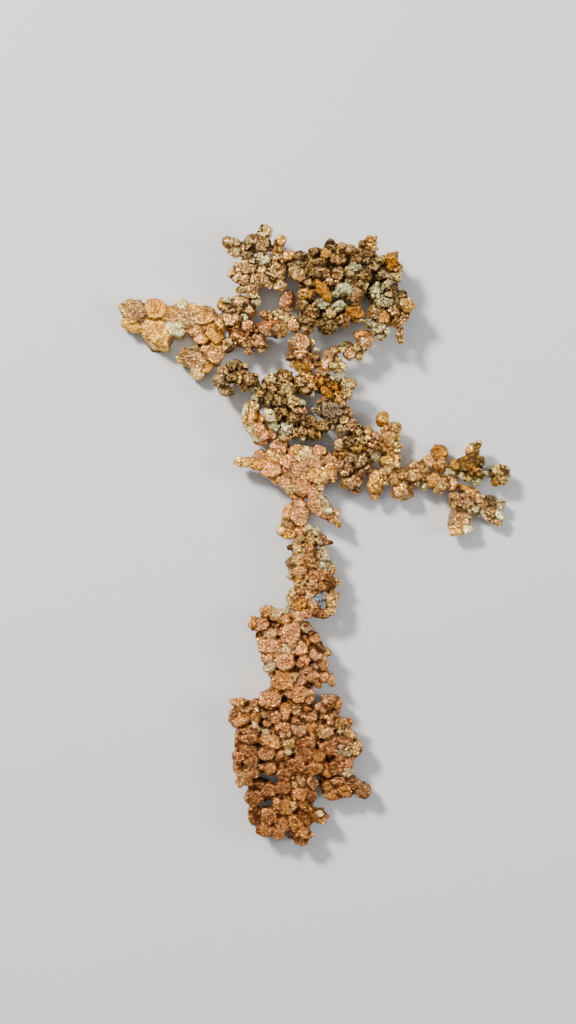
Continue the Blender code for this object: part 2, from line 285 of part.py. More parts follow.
# Name, layers, seed, colour, roughness and metallic of each branch, in the order in which they
# grew: a branch stands clear of every branch above it in this list.
BRANCHES = [
    ("trunk", TRUNK + TAIL + TRUNK_LEFT + TRUNK_RIGHT, 26, (0.48, 0.26, 0.12), 0.42, 0.75),
    ("toe", TOE, 1, (0.46, 0.27, 0.10), 0.42, 0.75),
    ("stem", STEM, 3, (0.52, 0.30, 0.13), 0.40, 0.75),
    ("lower_slab", LOWER_SLAB + FOOT, 1, (0.58, 0.30, 0.18), 0.38, 0.80),
    ("claw", CLAW, 1, (0.58, 0.36, 0.20), 0.38, 0.80),
    ("hub", HUB + HUB_RIGHT + DROPS + ORANGE_BAND, 2, (0.36, 0.20, 0.09), 0.48, 0.65),
    ("crescent", CRESCENT, 1, (0.62, 0.34, 0.16), 0.38, 0.80),
    ("column", COLUMN, 1, (0.56, 0.34, 0.22), 0.40, 0.75),
    ("strut", STRUT, 1, (0.56, 0.40, 0.22), 0.40, 0.75),
    ("spur", SPUR, 1, (0.26, 0.15, 0.08), 0.48, 0.65),
    ("crown_right", CROWN_RIGHT + CROWN_LOWER + CROWN_FALL, 5, (0.36, 0.22, 0.12), 0.46, 0.65),
    ("crown_left", CROWN_LEFT, 2, (0.50, 0.32, 0.18), 0.42, 0.75),
    ("crossbar", CROSSBAR, 1, (0.54, 0.30, 0.20), 0.40, 0.75),
    ("left_bough", LEFT_BOUGH, 1, (0.54, 0.30, 0.18), 0.40, 0.75),
    ("left_arm", LEFT_ARM, 4, (0.62, 0.34, 0.18), 0.36, 0.80),
    ("right_arm", RIGHT_ARM, 1, (0.56, 0.29, 0.13), 0.40, 0.75),
    ("upper_twig", UPPER_TWIG, 1, (0.38, 0.24, 0.08), 0.44, 0.70),
    ("lower_twig", LOWER_TWIG, 1, (0.52, 0.32, 0.17), 0.42, 0.75),
]


class Crystal:
    """One convex crystal: a unit form turned at random, fitted to its size and set in place."""

    def __init__(self, row, middle, thickness, rng):
        x, y, length, width, turn = row
        form = rng.choice(FORMS)
        spin = Euler([rng.uniform(0, math.tau) for _ in range(3)]).to_matrix()
        corners = [spin @ Vector(p) for p in form]
        reach = [max(abs(c[axis]) for c in corners) for axis in range(3)]
        self.unit = [Vector([c[axis] / reach[axis] for axis in range(3)]) for c in corners]
        self.half = Vector((length * FULLNESS, width * FULLNESS, width * thickness)) / 2
        lean = [rng.uniform(-TILT, TILT) for _ in range(2)]
        self.turn = Euler((*lean, math.radians(turn))).to_matrix()
        self.centre = Vector((x, y, middle + rng.uniform(-HEIGHT_SPREAD, HEIGHT_SPREAD)))

    def corners(self, margin=0.0):
        """The corner points, with every face moved out by about the margin."""
        half = self.half + Vector((margin, margin, margin))
        return [self.centre + self.turn @ (half * corner) for corner in self.unit]

    def box(self, margin=0.0):
        corners = self.corners(margin)
        return [[pick(c[axis] for c in corners) for axis in range(3)] for pick in (min, max)]


def clear_scene():
    for thing in list(bpy.data.objects):
        bpy.data.objects.remove(thing, do_unlink=True)


def add_object(name, work):
    """Puts a bmesh into the scene as an object of its own."""
    mesh = bpy.data.meshes.new(name)
    work.to_mesh(mesh)
    work.free()
    thing = bpy.data.objects.new(name, mesh)
    bpy.context.scene.collection.objects.link(thing)
    return thing


def add_crystals(name, crystals, margin=0.0):
    """An object that holds each crystal as a convex body of its own."""
    work = bmesh.new()
    for crystal in crystals:
        verts = [work.verts.new(c * MM) for c in crystal.corners(margin)]
        bmesh.ops.convex_hull(work, input=verts)
    bmesh.ops.dissolve_limit(
        work, angle_limit=math.radians(0.5), verts=work.verts, edges=work.edges)
    return add_object(name, work)


def add_space(name, bottom):
    """A box around the whole cluster, from a given height up. It is a cutter."""
    wide, long, high = SPACE
    work = bmesh.new()
    bmesh.ops.create_cube(work, size=MM)
    bmesh.ops.scale(work, vec=(wide, long, high), verts=work.verts)
    bmesh.ops.translate(work, vec=(0, 0, (bottom + high / 2) * MM), verts=work.verts)
    return as_cutter(add_object(name, work))


def as_cutter(thing):
    thing.hide_render = True
    thing.display_type = "WIRE"
    return thing


def boolean(thing, operation, cutter):
    step = thing.modifiers.new(cutter.name, "BOOLEAN")
    step.operation = operation
    step.solver = "EXACT"
    step.use_self = True
    step.object = cutter


def apply_modifiers(thing):
    view = thing.evaluated_get(bpy.context.evaluated_depsgraph_get())
    mesh = bpy.data.meshes.new_from_object(view)
    thing.modifiers.clear()
    thing.data = mesh


def bodies_of(work):
    """The faces of a mesh, sorted into the bodies that they belong to."""
    left, bodies = set(work.faces), []
    while left:
        queue = [left.pop()]
        body = set(queue)
        while queue:
            for edge in queue.pop().edges:
                for face in edge.link_faces:
                    if face in left:
                        left.discard(face)
                        body.add(face)
                        queue.append(face)
        bodies.append(body)
    return bodies


def keep_main_body(mesh):
    """Drops the chips that a fork's gap cuts loose."""
    work = bmesh.new()
    work.from_mesh(mesh)
    bodies = sorted(bodies_of(work), key=lambda body: sum(f.calc_area() for f in body))
    bmesh.ops.delete(work, geom=[f for body in bodies[:-1] for f in body], context="FACES")
    loose = [v for v in work.verts if not v.link_faces]
    bmesh.ops.delete(work, geom=loose, context="VERTS")
    work.to_mesh(mesh)
    work.free()


def merge_slivers(thing):
    """Takes out the narrow facets along the seams between crystals."""
    step = thing.modifiers.new("merge slivers", "DECIMATE")
    step.ratio = FACET_SHARE
    step.use_collapse_triangulate = True


def overlap(one, other):
    return all(one[0][axis] < other[1][axis] and one[1][axis] > other[0][axis] for axis in range(3))


def copper(name, colour, roughness, metallic):
    material = bpy.data.materials.new(name + "_copper")
    material.use_nodes = True
    shader = material.node_tree.nodes["Principled BSDF"]
    shader.inputs["Base Color"].default_value = (*colour, 1)
    shader.inputs["Roughness"].default_value = roughness
    shader.inputs["Metallic"].default_value = metallic
    return material


def grow_branch(name, layers, seed, grown, everywhere, above_table):
    """One branch, as a single body that keeps clear of the crystals that grew before it."""
    rng = random.Random(seed)
    crystals = [Crystal(row, middle, thickness, rng)
                for middle, thickness, rows in layers for row in rows]
    branch = add_crystals(name, crystals)
    boolean(branch, "INTERSECT", everywhere)
    boxes = [crystal.box() for crystal in crystals]
    close = [g for g in grown if any(overlap(g.box(FORK_GAP), box) for box in boxes)]
    if close:
        boolean(branch, "DIFFERENCE", as_cutter(add_crystals(name + "_gap", close, FORK_GAP)))
    apply_modifiers(branch)
    branch.data.name = name
    keep_main_body(branch.data)
    merge_slivers(branch)
    boolean(branch, "INTERSECT", above_table)
    apply_modifiers(branch)
    return branch, crystals


def centre_on_origin(branches):
    """Sets the origin below the middle of the whole cluster's box."""
    points = [v.co for branch in branches for v in branch.data.vertices]
    middle = [(min(p[axis] for p in points) + max(p[axis] for p in points)) / 2
              for axis in range(2)]
    for branch in branches:
        branch.data.transform(Matrix.Translation((-middle[0], -middle[1], 0)))


def build():
    clear_scene()
    everywhere = add_space("everywhere", -SPACE[2] / 2)
    above_table = add_space("above_table", 0.0)
    branches, grown = [], []
    for name, layers, seed, colour, roughness, metallic in BRANCHES:
        branch, crystals = grow_branch(name, layers, seed, grown, everywhere, above_table)
        branch.data.materials.clear()
        branch.data.materials.append(copper(name, colour, roughness, metallic))
        branches.append(branch)
        grown += crystals
    centre_on_origin(branches)


build()
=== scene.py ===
"""Looks of a native copper nugget that lies on its back on a pale table, seen from above.

Every branch is a cluster of crystals grown into each other. Each crystal is a copy of one of a
few unit forms, with smaller grains around it. The grains of a branch are grown together into one
skin. The skin is cracked, roughened and tarnished by attributes that say which grain it belongs
to, where it is sunk and where its edges stand out. Shade is painted into the sunk places and the
seams, glints are painted onto specks, and the edges are painted pale, partly as rubbed copper and
partly as painted highlight.
"""
import itertools
import math
import random
from dataclasses import dataclass
from typing import NamedTuple

import bpy
import numpy as np
from mathutils import Euler, Matrix, Vector


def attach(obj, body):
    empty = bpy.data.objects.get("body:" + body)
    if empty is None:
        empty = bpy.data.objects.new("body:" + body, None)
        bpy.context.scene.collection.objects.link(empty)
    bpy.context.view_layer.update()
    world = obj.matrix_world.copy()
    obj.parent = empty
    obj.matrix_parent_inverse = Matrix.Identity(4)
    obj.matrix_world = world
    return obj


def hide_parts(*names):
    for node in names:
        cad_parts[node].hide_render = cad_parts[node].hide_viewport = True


MM = 0.001
TINY = 1e-6

# How thick a crystal is, as a share of its width.
NUGGET = 1.15
PLATE = 0.95
BLOCK = 1.3
BASE = 1.25
SPECK = 1.0

# The tarnish of single crystals: colour, how much of it is bare metal, and how far the colour
# of the copper around it shows through.
ROSE = ((0.50, 0.168, 0.040), 0.95, 0.5)
PINK = ((0.42, 0.155, 0.062), 0.95, 0.5)
MAUVE = ((0.21, 0.095, 0.055), 0.85, 0.2)
RED = ((0.50, 0.095, 0.030), 0.80, 0.3)
TAN = ((0.37, 0.164, 0.046), 0.95, 0.5)
HAY = ((0.45, 0.215, 0.068), 0.95, 0.1)
GOLD = ((0.56, 0.240, 0.020), 0.95, 0.3)
YELLOW = ((0.30, 0.125, 0.002), 0.35, 0.05)
AMBER = ((0.58, 0.200, 0.006), 0.85, 0.2)
RUST = ((0.62, 0.215, 0.004), 0.10, 0.0)
PALE = ((0.82, 0.510, 0.150), 0.95, 0.3)
WHITE = ((0.95, 0.740, 0.320), 0.85, 0.15)
GREEN = ((0.62, 0.620, 0.320), 0.75, 0.15)
BLUE = ((0.20, 0.380, 0.480), 0.30, 0.0)
BROWN = ((0.12, 0.045, 0.010), 0.65, 0.1)
DARK = ((0.05, 0.021, 0.006), 0.50, 0.0)
SLATE = ((0.12, 0.080, 0.062), 0.35, 0.0)
GRAY = ((0.15, 0.100, 0.060), 0.75, 0.1)

TARNISH = 4                  # where its tarnish stands in the row of a crystal
SPECK_SIZE = (0.95, 0.8)


def specks(middle, rows):
    """A layer of specks. Those listed as (x, y, tarnish) have the usual size and no turn."""
    return middle, SPECK, [(*row[:2], *SPECK_SIZE, row[2]) if len(row) == 3 else row for row in rows]


# Each cluster is a list of layers: the height of the layer's middle, how thick its crystals
# are, and the crystals as (x, y, length, width, tarnish, turn in degrees), with the turn left
# out where it is 0. Lengths are in millimetres, measured before the cluster was centred.
TRUNK = [
    (3.5, NUGGET, [
        (-6.1, -9.5, 1.7, 1.4, GOLD, -10), (-4.7, -9.7, 1.7, 1.1, WHITE, -20),
        (-7.8, -11.0, 1.8, 1.2, AMBER, 80), (-6.8, -11.1, 2.0, 1.5, TAN, 20),
        (-5.7, -12.0, 2.3, 2.0, GRAY, -20), (-3.7, -10.4, 2.6, 1.4, AMBER), (-2.4, -10.2, 1.7, 1.4, ROSE),
        (-3.1, -12.2, 3.3, 2.8, TAN, 80), (-1.0, -11.7, 1.6, 1.1, GREEN, -30),
        (-0.4, -12.4, 4.6, 0.9, GRAY, -52), (-0.1, -12.9, 1.4, 1.3, GOLD),
        (-5.8, -13.7, 2.6, 2.1, TAN, -10), (-2.0, -14.1, 2.3, 1.8, TAN, 15),
        (-3.9, -15.6, 2.9, 2.8, PINK, 80), (-5.9, -15.2, 1.6, 1.4, TAN), (-5.7, -16.5, 1.6, 1.3, GREEN),
        (-1.5, -15.6, 1.8, 1.5, RED, 60), (0.2, -14.9, 1.9, 1.6, GRAY), (1.5, -14.6, 1.3, 0.9, PALE, -20),
        (0.7, -16.0, 1.8, 1.6, PINK, 80), (-1.2, -16.8, 1.6, 1.1, GRAY), (-3.9, -18.1, 3.1, 2.3, AMBER, 10),
        (-1.9, -18.1, 1.8, 1.6, GRAY), (-0.1, -17.7, 2.2, 1.6, BROWN), (1.1, -17.7, 1.6, 1.5, TAN),
        (1.9, -18.1, 1.7, 1.0, PALE, -70), (-2.1, -19.8, 2.6, 2.2, AMBER, -10),
        (-5.7, -20.5, 3.0, 2.5, GOLD, 10), (-0.7, -20.2, 1.5, 1.1, PINK, 60),
        (-3.8, -22.0, 2.5, 1.6, AMBER, 85), (-5.1, -22.7, 2.0, 1.6, TAN, 35), (-4.1, -23.9, 1.9, 1.6, TAN),
        (-2.2, -21.8, 1.2, 1.6, PALE, 80), (-1.0, -22.3, 2.6, 1.8, ROSE, -30),
        (-0.5, -23.9, 2.1, 1.5, AMBER, -70), (-2.0, -24.3, 2.1, 1.8, GRAY),
        (-3.5, -25.8, 2.0, 1.7, PALE, 80), (-5.6, -25.7, 2.7, 1.9, AMBER, -20),
        (-6.1, -27.2, 2.2, 1.9, MAUVE), (-4.5, -27.5, 2.0, 1.8, GOLD, 60),
        (-1.2, -25.8, 2.6, 1.8, PINK, -10), (-1.3, -27.2, 2.6, 1.8, PINK, -10),
        (0.4, -27.5, 1.6, 1.4, YELLOW), (-2.4, -28.7, 2.5, 2.0, TAN, -20),
        (-3.9, -29.8, 2.1, 1.6, PINK, 20), (-5.7, -29.0, 1.9, 1.6, BROWN, 80),
        (-0.2, -29.0, 2.5, 1.5, AMBER, 10)]),
    (1.9, PLATE, [
        (-4.2, -10.9, 3.6, 2.4, TAN), (-5.6, -12.9, 4.2, 3.2, TAN, 80), (-2.0, -12.7, 4.4, 3.4, TAN, -50),
        (-3.7, -15.8, 5.0, 3.6, TAN, 10), (-0.2, -16.4, 3.2, 3.0, TAN, 70), (-2.6, -18.7, 5.0, 3.6, TAN),
        (-4.6, -21.4, 4.4, 3.4, TAN, 20), (-2.0, -23.4, 4.4, 3.6, TAN, -40),
        (-5.0, -25.5, 4.4, 3.8, TAN, 10), (-6.9, -24.6, 3.2, 2.6, TAN), (-6.8, -28.0, 3.0, 2.6, TAN, 40),
        (-1.6, -26.6, 4.0, 3.6, TAN), (-3.8, -28.6, 4.6, 3.0, TAN)]),
    specks(4.1, [
        (-6.9, -10.5, GREEN), (-5.2, -10.3, PINK), (-5.6, -11.6, PINK), (-4.0, -14.4, WHITE),
        (-1.9, -16.1, RED), (0.4, -14.4, GRAY), (0.9, -15.4, PALE), (0.2, -16.3, WHITE),
        (-2.5, -17.4, PALE), (0.3, -18.7, BROWN), (-3.5, -19.8, MAUVE), (-0.6, -19.6, PALE),
        (-6.3, -22.4, GRAY), (-6.1, -23.5, MAUVE), (-6.2, -24.5, WHITE), (-4.1, -25.0, WHITE),
        (-3.4, -25.2, GREEN), (-3.4, -27.0, WHITE), (-6.7, -28.9, TAN), (-1.1, -21.9, AMBER)])]
TAIL = [
    (3.3, NUGGET, [
        (-1.8, -30.6, 1.7, 1.5, GRAY), (-0.6, -30.9, 2.0, 1.8, GRAY, 90), (-4.0, -31.4, 2.1, 1.8, BROWN),
        (-5.7, -31.8, 2.0, 1.7, PINK), (-1.9, -32.2, 2.3, 1.9, AMBER), (-0.5, -32.4, 1.8, 1.4, DARK, 80),
        (-7.7, -32.8, 2.3, 1.9, BROWN), (-4.8, -33.4, 1.4, 1.1, GOLD, 80), (-3.6, -33.9, 2.0, 1.9, YELLOW),
        (-1.6, -33.8, 2.6, 1.6, AMBER, -25), (0.5, -35.1, 2.0, 1.6, AMBER, -40),
        (-7.7, -34.9, 2.3, 1.4, DARK, 80), (-5.9, -35.0, 2.4, 2.0, TAN),
        (-4.2, -36.0, 2.1, 1.6, BROWN, -30), (-2.5, -35.9, 2.5, 1.9, AMBER, -30),
        (-6.3, -36.8, 2.5, 1.6, BROWN, -10), (-4.8, -37.2, 1.7, 1.3, BROWN, -20),
        (-1.6, -37.1, 2.0, 1.7, AMBER, -40), (-1.8, -38.0, 1.8, 1.3, BROWN, -20)]),
    (1.8, PLATE, [
        (-2.2, -31.6, 4.4, 2.8, BROWN), (-6.7, -32.0, 3.2, 2.2, BROWN, -30),
        (-2.0, -34.6, 4.2, 3.4, BROWN, -40), (-5.8, -35.7, 4.2, 3.0, BROWN, -10),
        (-2.6, -36.9, 3.6, 2.8, BROWN, -30)]),
    specks(3.9, [
        (-2.8, -31.0, PALE), (-4.0, -30.6, AMBER), (-2.6, -33.6, PALE), (0.5, -34.7, 0.9, 0.8, WHITE),
        (-8.0, -34.2, PALE), (-7.4, -34.7, PALE), (-0.7, -37.3, PALE)])]
TRUNK_LEFT = [
    (3.3, NUGGET, [
        (-9.6, -20.9, 2.2, 1.1, GOLD), (-8.5, -21.5, 1.9, 1.1, PALE, -10),
        (-9.4, -22.9, 2.5, 2.3, AMBER, 20), (-7.5, -22.7, 1.7, 1.5, YELLOW, 80),
        (-8.2, -24.2, 2.9, 1.3, BROWN), (-8.3, -25.4, 2.2, 1.4, PINK), (-8.5, -26.8, 1.9, 1.8, BROWN),
        (-8.1, -28.2, 2.0, 1.6, DARK), (-9.6, -27.6, 1.6, 1.5, TAN, 30), (-7.9, -29.5, 1.8, 1.5, BROWN),
        (-9.0, -30.4, 1.9, 1.6, PALE, 40), (-7.6, -20.9, 1.2, 0.9, GRAY, 30)]),
    (1.8, PLATE, [
        (-9.0, -22.6, 3.2, 3.0, TAN), (-8.6, -25.6, 3.6, 2.8, TAN, 80), (-8.9, -28.8, 3.8, 2.4, TAN, 80)]),
    specks(3.9, [
        (-9.0, -21.2, WHITE), (-7.5, -21.6, WHITE), (-10.3, -22.1, GRAY), (-9.3, -22.3, TAN),
        (-7.5, -23.8, WHITE), (-8.2, -30.8, BROWN)])]
TRUNK_RIGHT = [
    (3.3, NUGGET, [
        (0.7, -21.6, 1.8, 1.4, MAUVE), (1.7, -20.7, 1.8, 1.5, GRAY), (2.5, -21.0, 1.5, 1.5, GOLD),
        (1.5, -22.8, 2.6, 1.2, PALE, -5), (3.3, -23.4, 1.8, 1.4, PALE), (4.2, -23.2, 1.1, 0.8, AMBER),
        (1.1, -24.4, 2.3, 1.7, PALE), (4.0, -24.6, 1.9, 1.1, PALE, -45), (3.5, -25.8, 2.2, 1.8, GRAY),
        (5.1, -26.6, 1.9, 1.6, PALE, 70), (1.8, -26.3, 2.2, 2.0, ROSE, 70), (3.2, -27.5, 1.7, 1.3, PINK),
        (3.9, -28.4, 1.8, 1.6, PINK, 70), (4.0, -29.5, 1.3, 1.2, WHITE), (2.5, -28.9, 1.8, 1.8, GOLD),
        (1.4, -29.3, 1.9, 1.8, AMBER)]),
    (1.8, PLATE, [
        (1.9, -21.8, 3.2, 2.4, TAN, 80), (1.9, -24.2, 3.4, 2.8, TAN), (3.5, -26.2, 3.4, 3.0, TAN, 60),
        (2.6, -28.5, 3.6, 2.6, TAN, 20)]),
    specks(3.9, [
        (1.7, -21.4, BROWN), (1.8, -23.3, PINK), (3.2, -24.4, WHITE), (3.1, -26.3, WHITE),
        (2.9, -26.9, GREEN), (0.8, -26.3, TAN), (3.9, -27.2, WHITE)])]
TOE = [
    (2.6, NUGGET, [
        (1.6, -31.4, 2.2, 2.0, AMBER), (2.7, -30.7, 2.0, 1.1, PINK), (2.2, -32.2, 2.4, 1.9, AMBER),
        (3.6, -31.9, 2.0, 1.8, AMBER), (4.9, -31.1, 2.3, 1.4, GRAY, -40), (5.9, -32.0, 2.0, 1.7, GRAY)]),
    (1.4, PLATE, [
        (2.4, -31.6, 3.2, 2.6, GOLD, 10), (4.7, -31.7, 2.8, 1.8, GOLD, -20)])]
STEM = [
    (3.5, NUGGET, [
        (-0.9, 0.8, 1.4, 1.0, WHITE, 30), (0.1, 0.5, 1.2, 0.9, WHITE, -30),
        (-1.9, -0.7, 1.5, 1.2, PALE, 20), (-0.5, -0.4, 1.5, 1.2, PALE, -40),
        (0.8, -0.7, 1.4, 1.2, GRAY, 60), (-2.2, -1.9, 1.6, 1.3, PALE, 70), (-0.8, -1.9, 1.6, 1.3, HAY, -60),
        (1.1, -2.3, 2.0, 1.0, WHITE, -75), (-3.1, -1.6, 1.0, 0.8, DARK), (-2.2, -3.2, 1.7, 1.3, PALE, 10),
        (-3.2, -3.5, 1.2, 1.1, GRAY, 80), (-0.5, -3.4, 1.8, 1.4, HAY, -50),
        (1.0, -3.7, 1.6, 1.3, GREEN, -30), (2.1, -4.2, 1.3, 1.0, PALE, -50),
        (-2.0, -4.6, 1.8, 1.4, HAY, 20), (-0.5, -4.9, 1.5, 1.2, PINK, -20), (0.9, -4.9, 1.6, 1.3, ROSE, 40),
        (-3.1, -5.1, 1.1, 0.9, GREEN, 80), (-1.9, -5.9, 1.8, 1.4, PALE), (-0.4, -6.3, 1.6, 1.4, HAY, 60),
        (1.8, -5.5, 1.6, 1.2, BROWN, -30), (2.7, -5.8, 1.0, 0.9, PALE, 80), (1.7, -6.3, 1.4, 1.1, DARK, 10),
        (0.5, -6.7, 1.2, 1.1, PINK, 80), (-2.7, -7.2, 1.5, 1.2, PALE, 40), (-1.0, -7.4, 1.7, 1.4, HAY, -20),
        (-3.1, -8.0, 1.2, 1.1, PALE, 60), (-1.9, -8.6, 1.9, 1.5, AMBER, 20),
        (-0.4, -8.5, 1.4, 1.3, HAY, 80), (-3.1, -9.0, 1.1, 0.9, GREEN), (-1.0, -9.7, 1.7, 1.2, PINK),
        (0.2, -9.6, 1.5, 1.3, BROWN, -50), (0.9, -9.9, 1.4, 1.1, ROSE, -30),
        (2.1, -7.9, 2.0, 1.6, PALE, 70), (1.9, -6.9, 1.3, 0.9, DARK, 70), (2.0, -9.4, 1.5, 1.2, PALE, 60),
        (0.5, -7.9, 1.3, 1.0, BLUE, 80)]),
    (2.2, PLATE, [
        (-0.8, -0.7, 3.0, 2.4, HAY, 60), (-0.7, -3.2, 3.6, 2.8, HAY, 20), (-0.5, -5.6, 3.6, 3.0, HAY),
        (-1.3, -8.3, 3.4, 3.0, HAY, 70), (2.0, -8.6, 2.2, 1.2, HAY, 80)]),
    specks(4.1, [
        (-1.3, 0.6, PALE), (-1.8, -0.4, PALE), (1.1, -0.4, 0.5, 0.7, PINK), (1.9, -0.9, 0.6, 0.5, DARK),
        (1.5, -1.0, 0.9, 0.6, DARK, 20), (1.3, -2.9, GREEN), (-1.6, -3.4, AMBER), (-2.1, -5.5, AMBER),
        (-1.9, -7.1, PINK), (-2.4, -7.9, PINK), (-3.8, -9.4, WHITE), (-3.8, -9.5, WHITE)])]
FOOT = [
    (3.0, NUGGET, [
        (-3.2, 2.9, 2.7, 1.6, GOLD, 65), (-2.1, 2.3, 3.0, 2.2, PINK, 80), (-3.5, 1.3, 1.7, 1.4, BROWN),
        (-4.3, 0.6, 1.3, 1.1, PALE, 60), (-3.3, 0.1, 1.7, 1.3, AMBER, 10), (-2.2, 0.6, 1.7, 1.5, PINK),
        (-2.0, 3.8, 1.7, 1.3, PINK, -20)]),
    (2.3, PLATE, [
        (-2.7, 1.8, 3.2, 2.4, PINK, 70)])]
CLAW = [
    (3.1, NUGGET, [
        (0.3, 3.5, 3.4, 1.9, PINK, -50), (1.2, 4.0, 2.2, 1.0, WHITE, -55), (2.2, 2.6, 1.5, 1.2, PALE),
        (2.6, 1.7, 2.0, 0.8, GOLD, -52), (1.2, 2.4, 1.3, 1.0, PINK, -40), (1.9, 2.0, 1.2, 0.9, PINK, -50)]),
    specks(3.7, [
        (1.6, 3.1, WHITE)])]
LOWER_SLAB = [
    (2.9, NUGGET, [
        (-4.5, 10.9, 2.4, 2.0, PINK, 60), (-5.3, 9.6, 2.8, 2.4, GOLD, 30), (-5.6, 8.3, 2.9, 2.2, ROSE, -20),
        (-6.9, 9.7, 1.9, 1.5, PINK, 80), (-7.2, 8.8, 1.9, 1.4, AMBER), (-8.5, 9.1, 1.5, 1.2, GOLD),
        (-9.4, 9.1, 1.6, 1.2, GOLD), (-3.2, 9.2, 2.4, 1.9, ROSE), (-2.2, 8.5, 3.1, 2.4, PINK, 20),
        (-3.1, 7.6, 2.1, 1.5, PINK), (-2.4, 10.6, 1.7, 1.3, GOLD), (-1.2, 10.2, 2.2, 1.6, PALE),
        (0.4, 10.4, 2.0, 1.4, PINK), (-0.1, 9.2, 2.4, 1.7, PINK), (1.4, 9.5, 2.0, 1.5, PINK),
        (2.0, 7.9, 2.5, 1.5, GOLD, -80), (-4.9, 7.3, 2.5, 1.7, GOLD, -35), (-3.9, 6.6, 1.8, 1.4, PINK, -40),
        (0.3, 7.3, 2.7, 2.4, GOLD), (-1.5, 6.2, 3.4, 2.9, ROSE, 20), (-3.0, 5.6, 1.5, 1.2, PALE),
        (-2.1, 5.0, 2.1, 1.3, GOLD), (-0.3, 5.5, 2.0, 1.6, PINK)]),
    (2.0, PLATE, [
        (-4.6, 8.8, 4.0, 2.6, PINK, -20), (-0.9, 9.3, 4.4, 2.4, PINK), (-1.0, 6.6, 3.2, 2.6, PINK)]),
    specks(3.5, [
        (2.0, 9.2, PALE), (0.6, 5.9, 0.9, 0.9, PALE), (2.3, 9.4, PINK)])]
HUB = [
    (4.2, NUGGET, [
        (-3.9, 19.7, 2.2, 1.7, TAN), (-5.8, 19.2, 2.0, 1.4, PALE, 40), (-5.6, 18.3, 2.1, 1.4, PINK, -30),
        (-3.6, 18.2, 2.2, 1.6, PALE, -20), (-6.1, 16.9, 2.2, 2.0, DARK), (-7.3, 17.1, 1.5, 1.1, WHITE),
        (-4.6, 16.7, 2.1, 1.8, DARK, -30), (-3.0, 16.7, 2.0, 1.5, PALE, -20), (-4.4, 15.2, 2.1, 1.6, BROWN),
        (-2.0, 15.5, 1.9, 1.3, PINK), (-5.6, 14.8, 2.0, 1.4, WHITE, -50), (-2.7, 14.4, 2.0, 1.5, BROWN),
        (-0.9, 14.1, 2.2, 1.5, BROWN, 10), (-3.7, 13.2, 2.1, 1.7, GREEN), (-5.2, 13.5, 1.4, 1.1, GREEN),
        (-1.9, 12.7, 2.0, 1.5, PINK), (-3.7, 12.1, 1.7, 1.1, BROWN), (-0.2, 12.5, 2.2, 1.5, DARK, -20),
        (0.9, 13.5, 1.9, 1.5, BROWN), (1.2, 16.6, 2.2, 1.3, PINK, 20), (3.9, 15.1, 1.4, 1.2, PINK),
        (2.3, 14.5, 2.0, 1.2, GRAY)]),
    (4.0, BLOCK, [
        (2.2, 15.6, 3.8, 2.2, SLATE, -15)]),
    (2.4, PLATE, [
        (-4.6, 18.0, 4.6, 3.4, BROWN, 30), (-3.9, 14.8, 4.4, 3.6, BROWN), (-0.9, 13.2, 3.8, 2.4, BROWN, 10),
        (2.2, 15.2, 3.8, 2.4, BROWN, -10), (-2.2, 18.9, 2.6, 2.0, BROWN)]),
    specks(4.8, [
        (-0.1, 15.5, GRAY), (-4.4, 20.3, BROWN), (-6.4, 18.5, PALE), (-4.4, 18.7, BROWN),
        (-4.3, 17.5, PINK), (-6.9, 17.5, GOLD), (-1.7, 16.4, 1.0, 0.8, WHITE), (-4.6, 14.7, PINK),
        (-1.5, 14.3, BROWN), (-1.6, 12.0, GRAY), (0.3, 12.4, AMBER), (1.8, 13.3, TAN)])]
HUB_RIGHT = [
    (4.0, NUGGET, [
        (3.6, 14.2, 2.0, 1.5, TAN, -30), (3.4, 13.0, 1.8, 1.7, GRAY), (4.6, 13.4, 2.0, 1.6, PINK, -40),
        (5.4, 12.9, 1.7, 1.6, PALE, 80), (6.5, 12.6, 1.8, 1.5, AMBER, 80), (7.3, 12.2, 1.6, 1.4, PINK),
        (7.1, 11.2, 1.8, 1.3, RED), (5.8, 11.8, 1.8, 1.3, PALE, 20), (4.1, 11.6, 2.0, 1.6, DARK, 30),
        (5.3, 10.8, 2.8, 1.5, YELLOW, 20), (3.1, 11.2, 1.9, 1.6, PINK, 60), (3.2, 10.2, 2.0, 1.3, YELLOW),
        (6.9, 10.3, 1.9, 1.3, MAUVE), (4.5, 9.7, 1.8, 1.4, MAUVE), (5.6, 9.3, 2.3, 1.3, MAUVE, 50),
        (3.0, 8.6, 1.5, 1.4, PINK), (3.9, 8.6, 1.7, 1.6, PINK, 90)]),
    (2.2, PLATE, [
        (4.6, 12.4, 4.0, 3.2, MAUVE, -30), (5.0, 10.4, 4.4, 2.4, MAUVE)]),
    specks(4.6, [
        (5.3, 13.4, 1.3, 1.0, GREEN, -40), (6.4, 12.0, PALE), (7.5, 10.8, PINK), (7.4, 9.6, GREEN),
        (3.6, 7.7, 1.2, 0.8, PALE)])]
DROPS = [
    (3.0, NUGGET, [
        (6.1, 8.3, 2.8, 2.0, MAUVE, 45), (4.5, 6.7, 2.7, 2.4, PINK), (4.8, 5.8, 1.8, 1.3, PINK, -20)])]
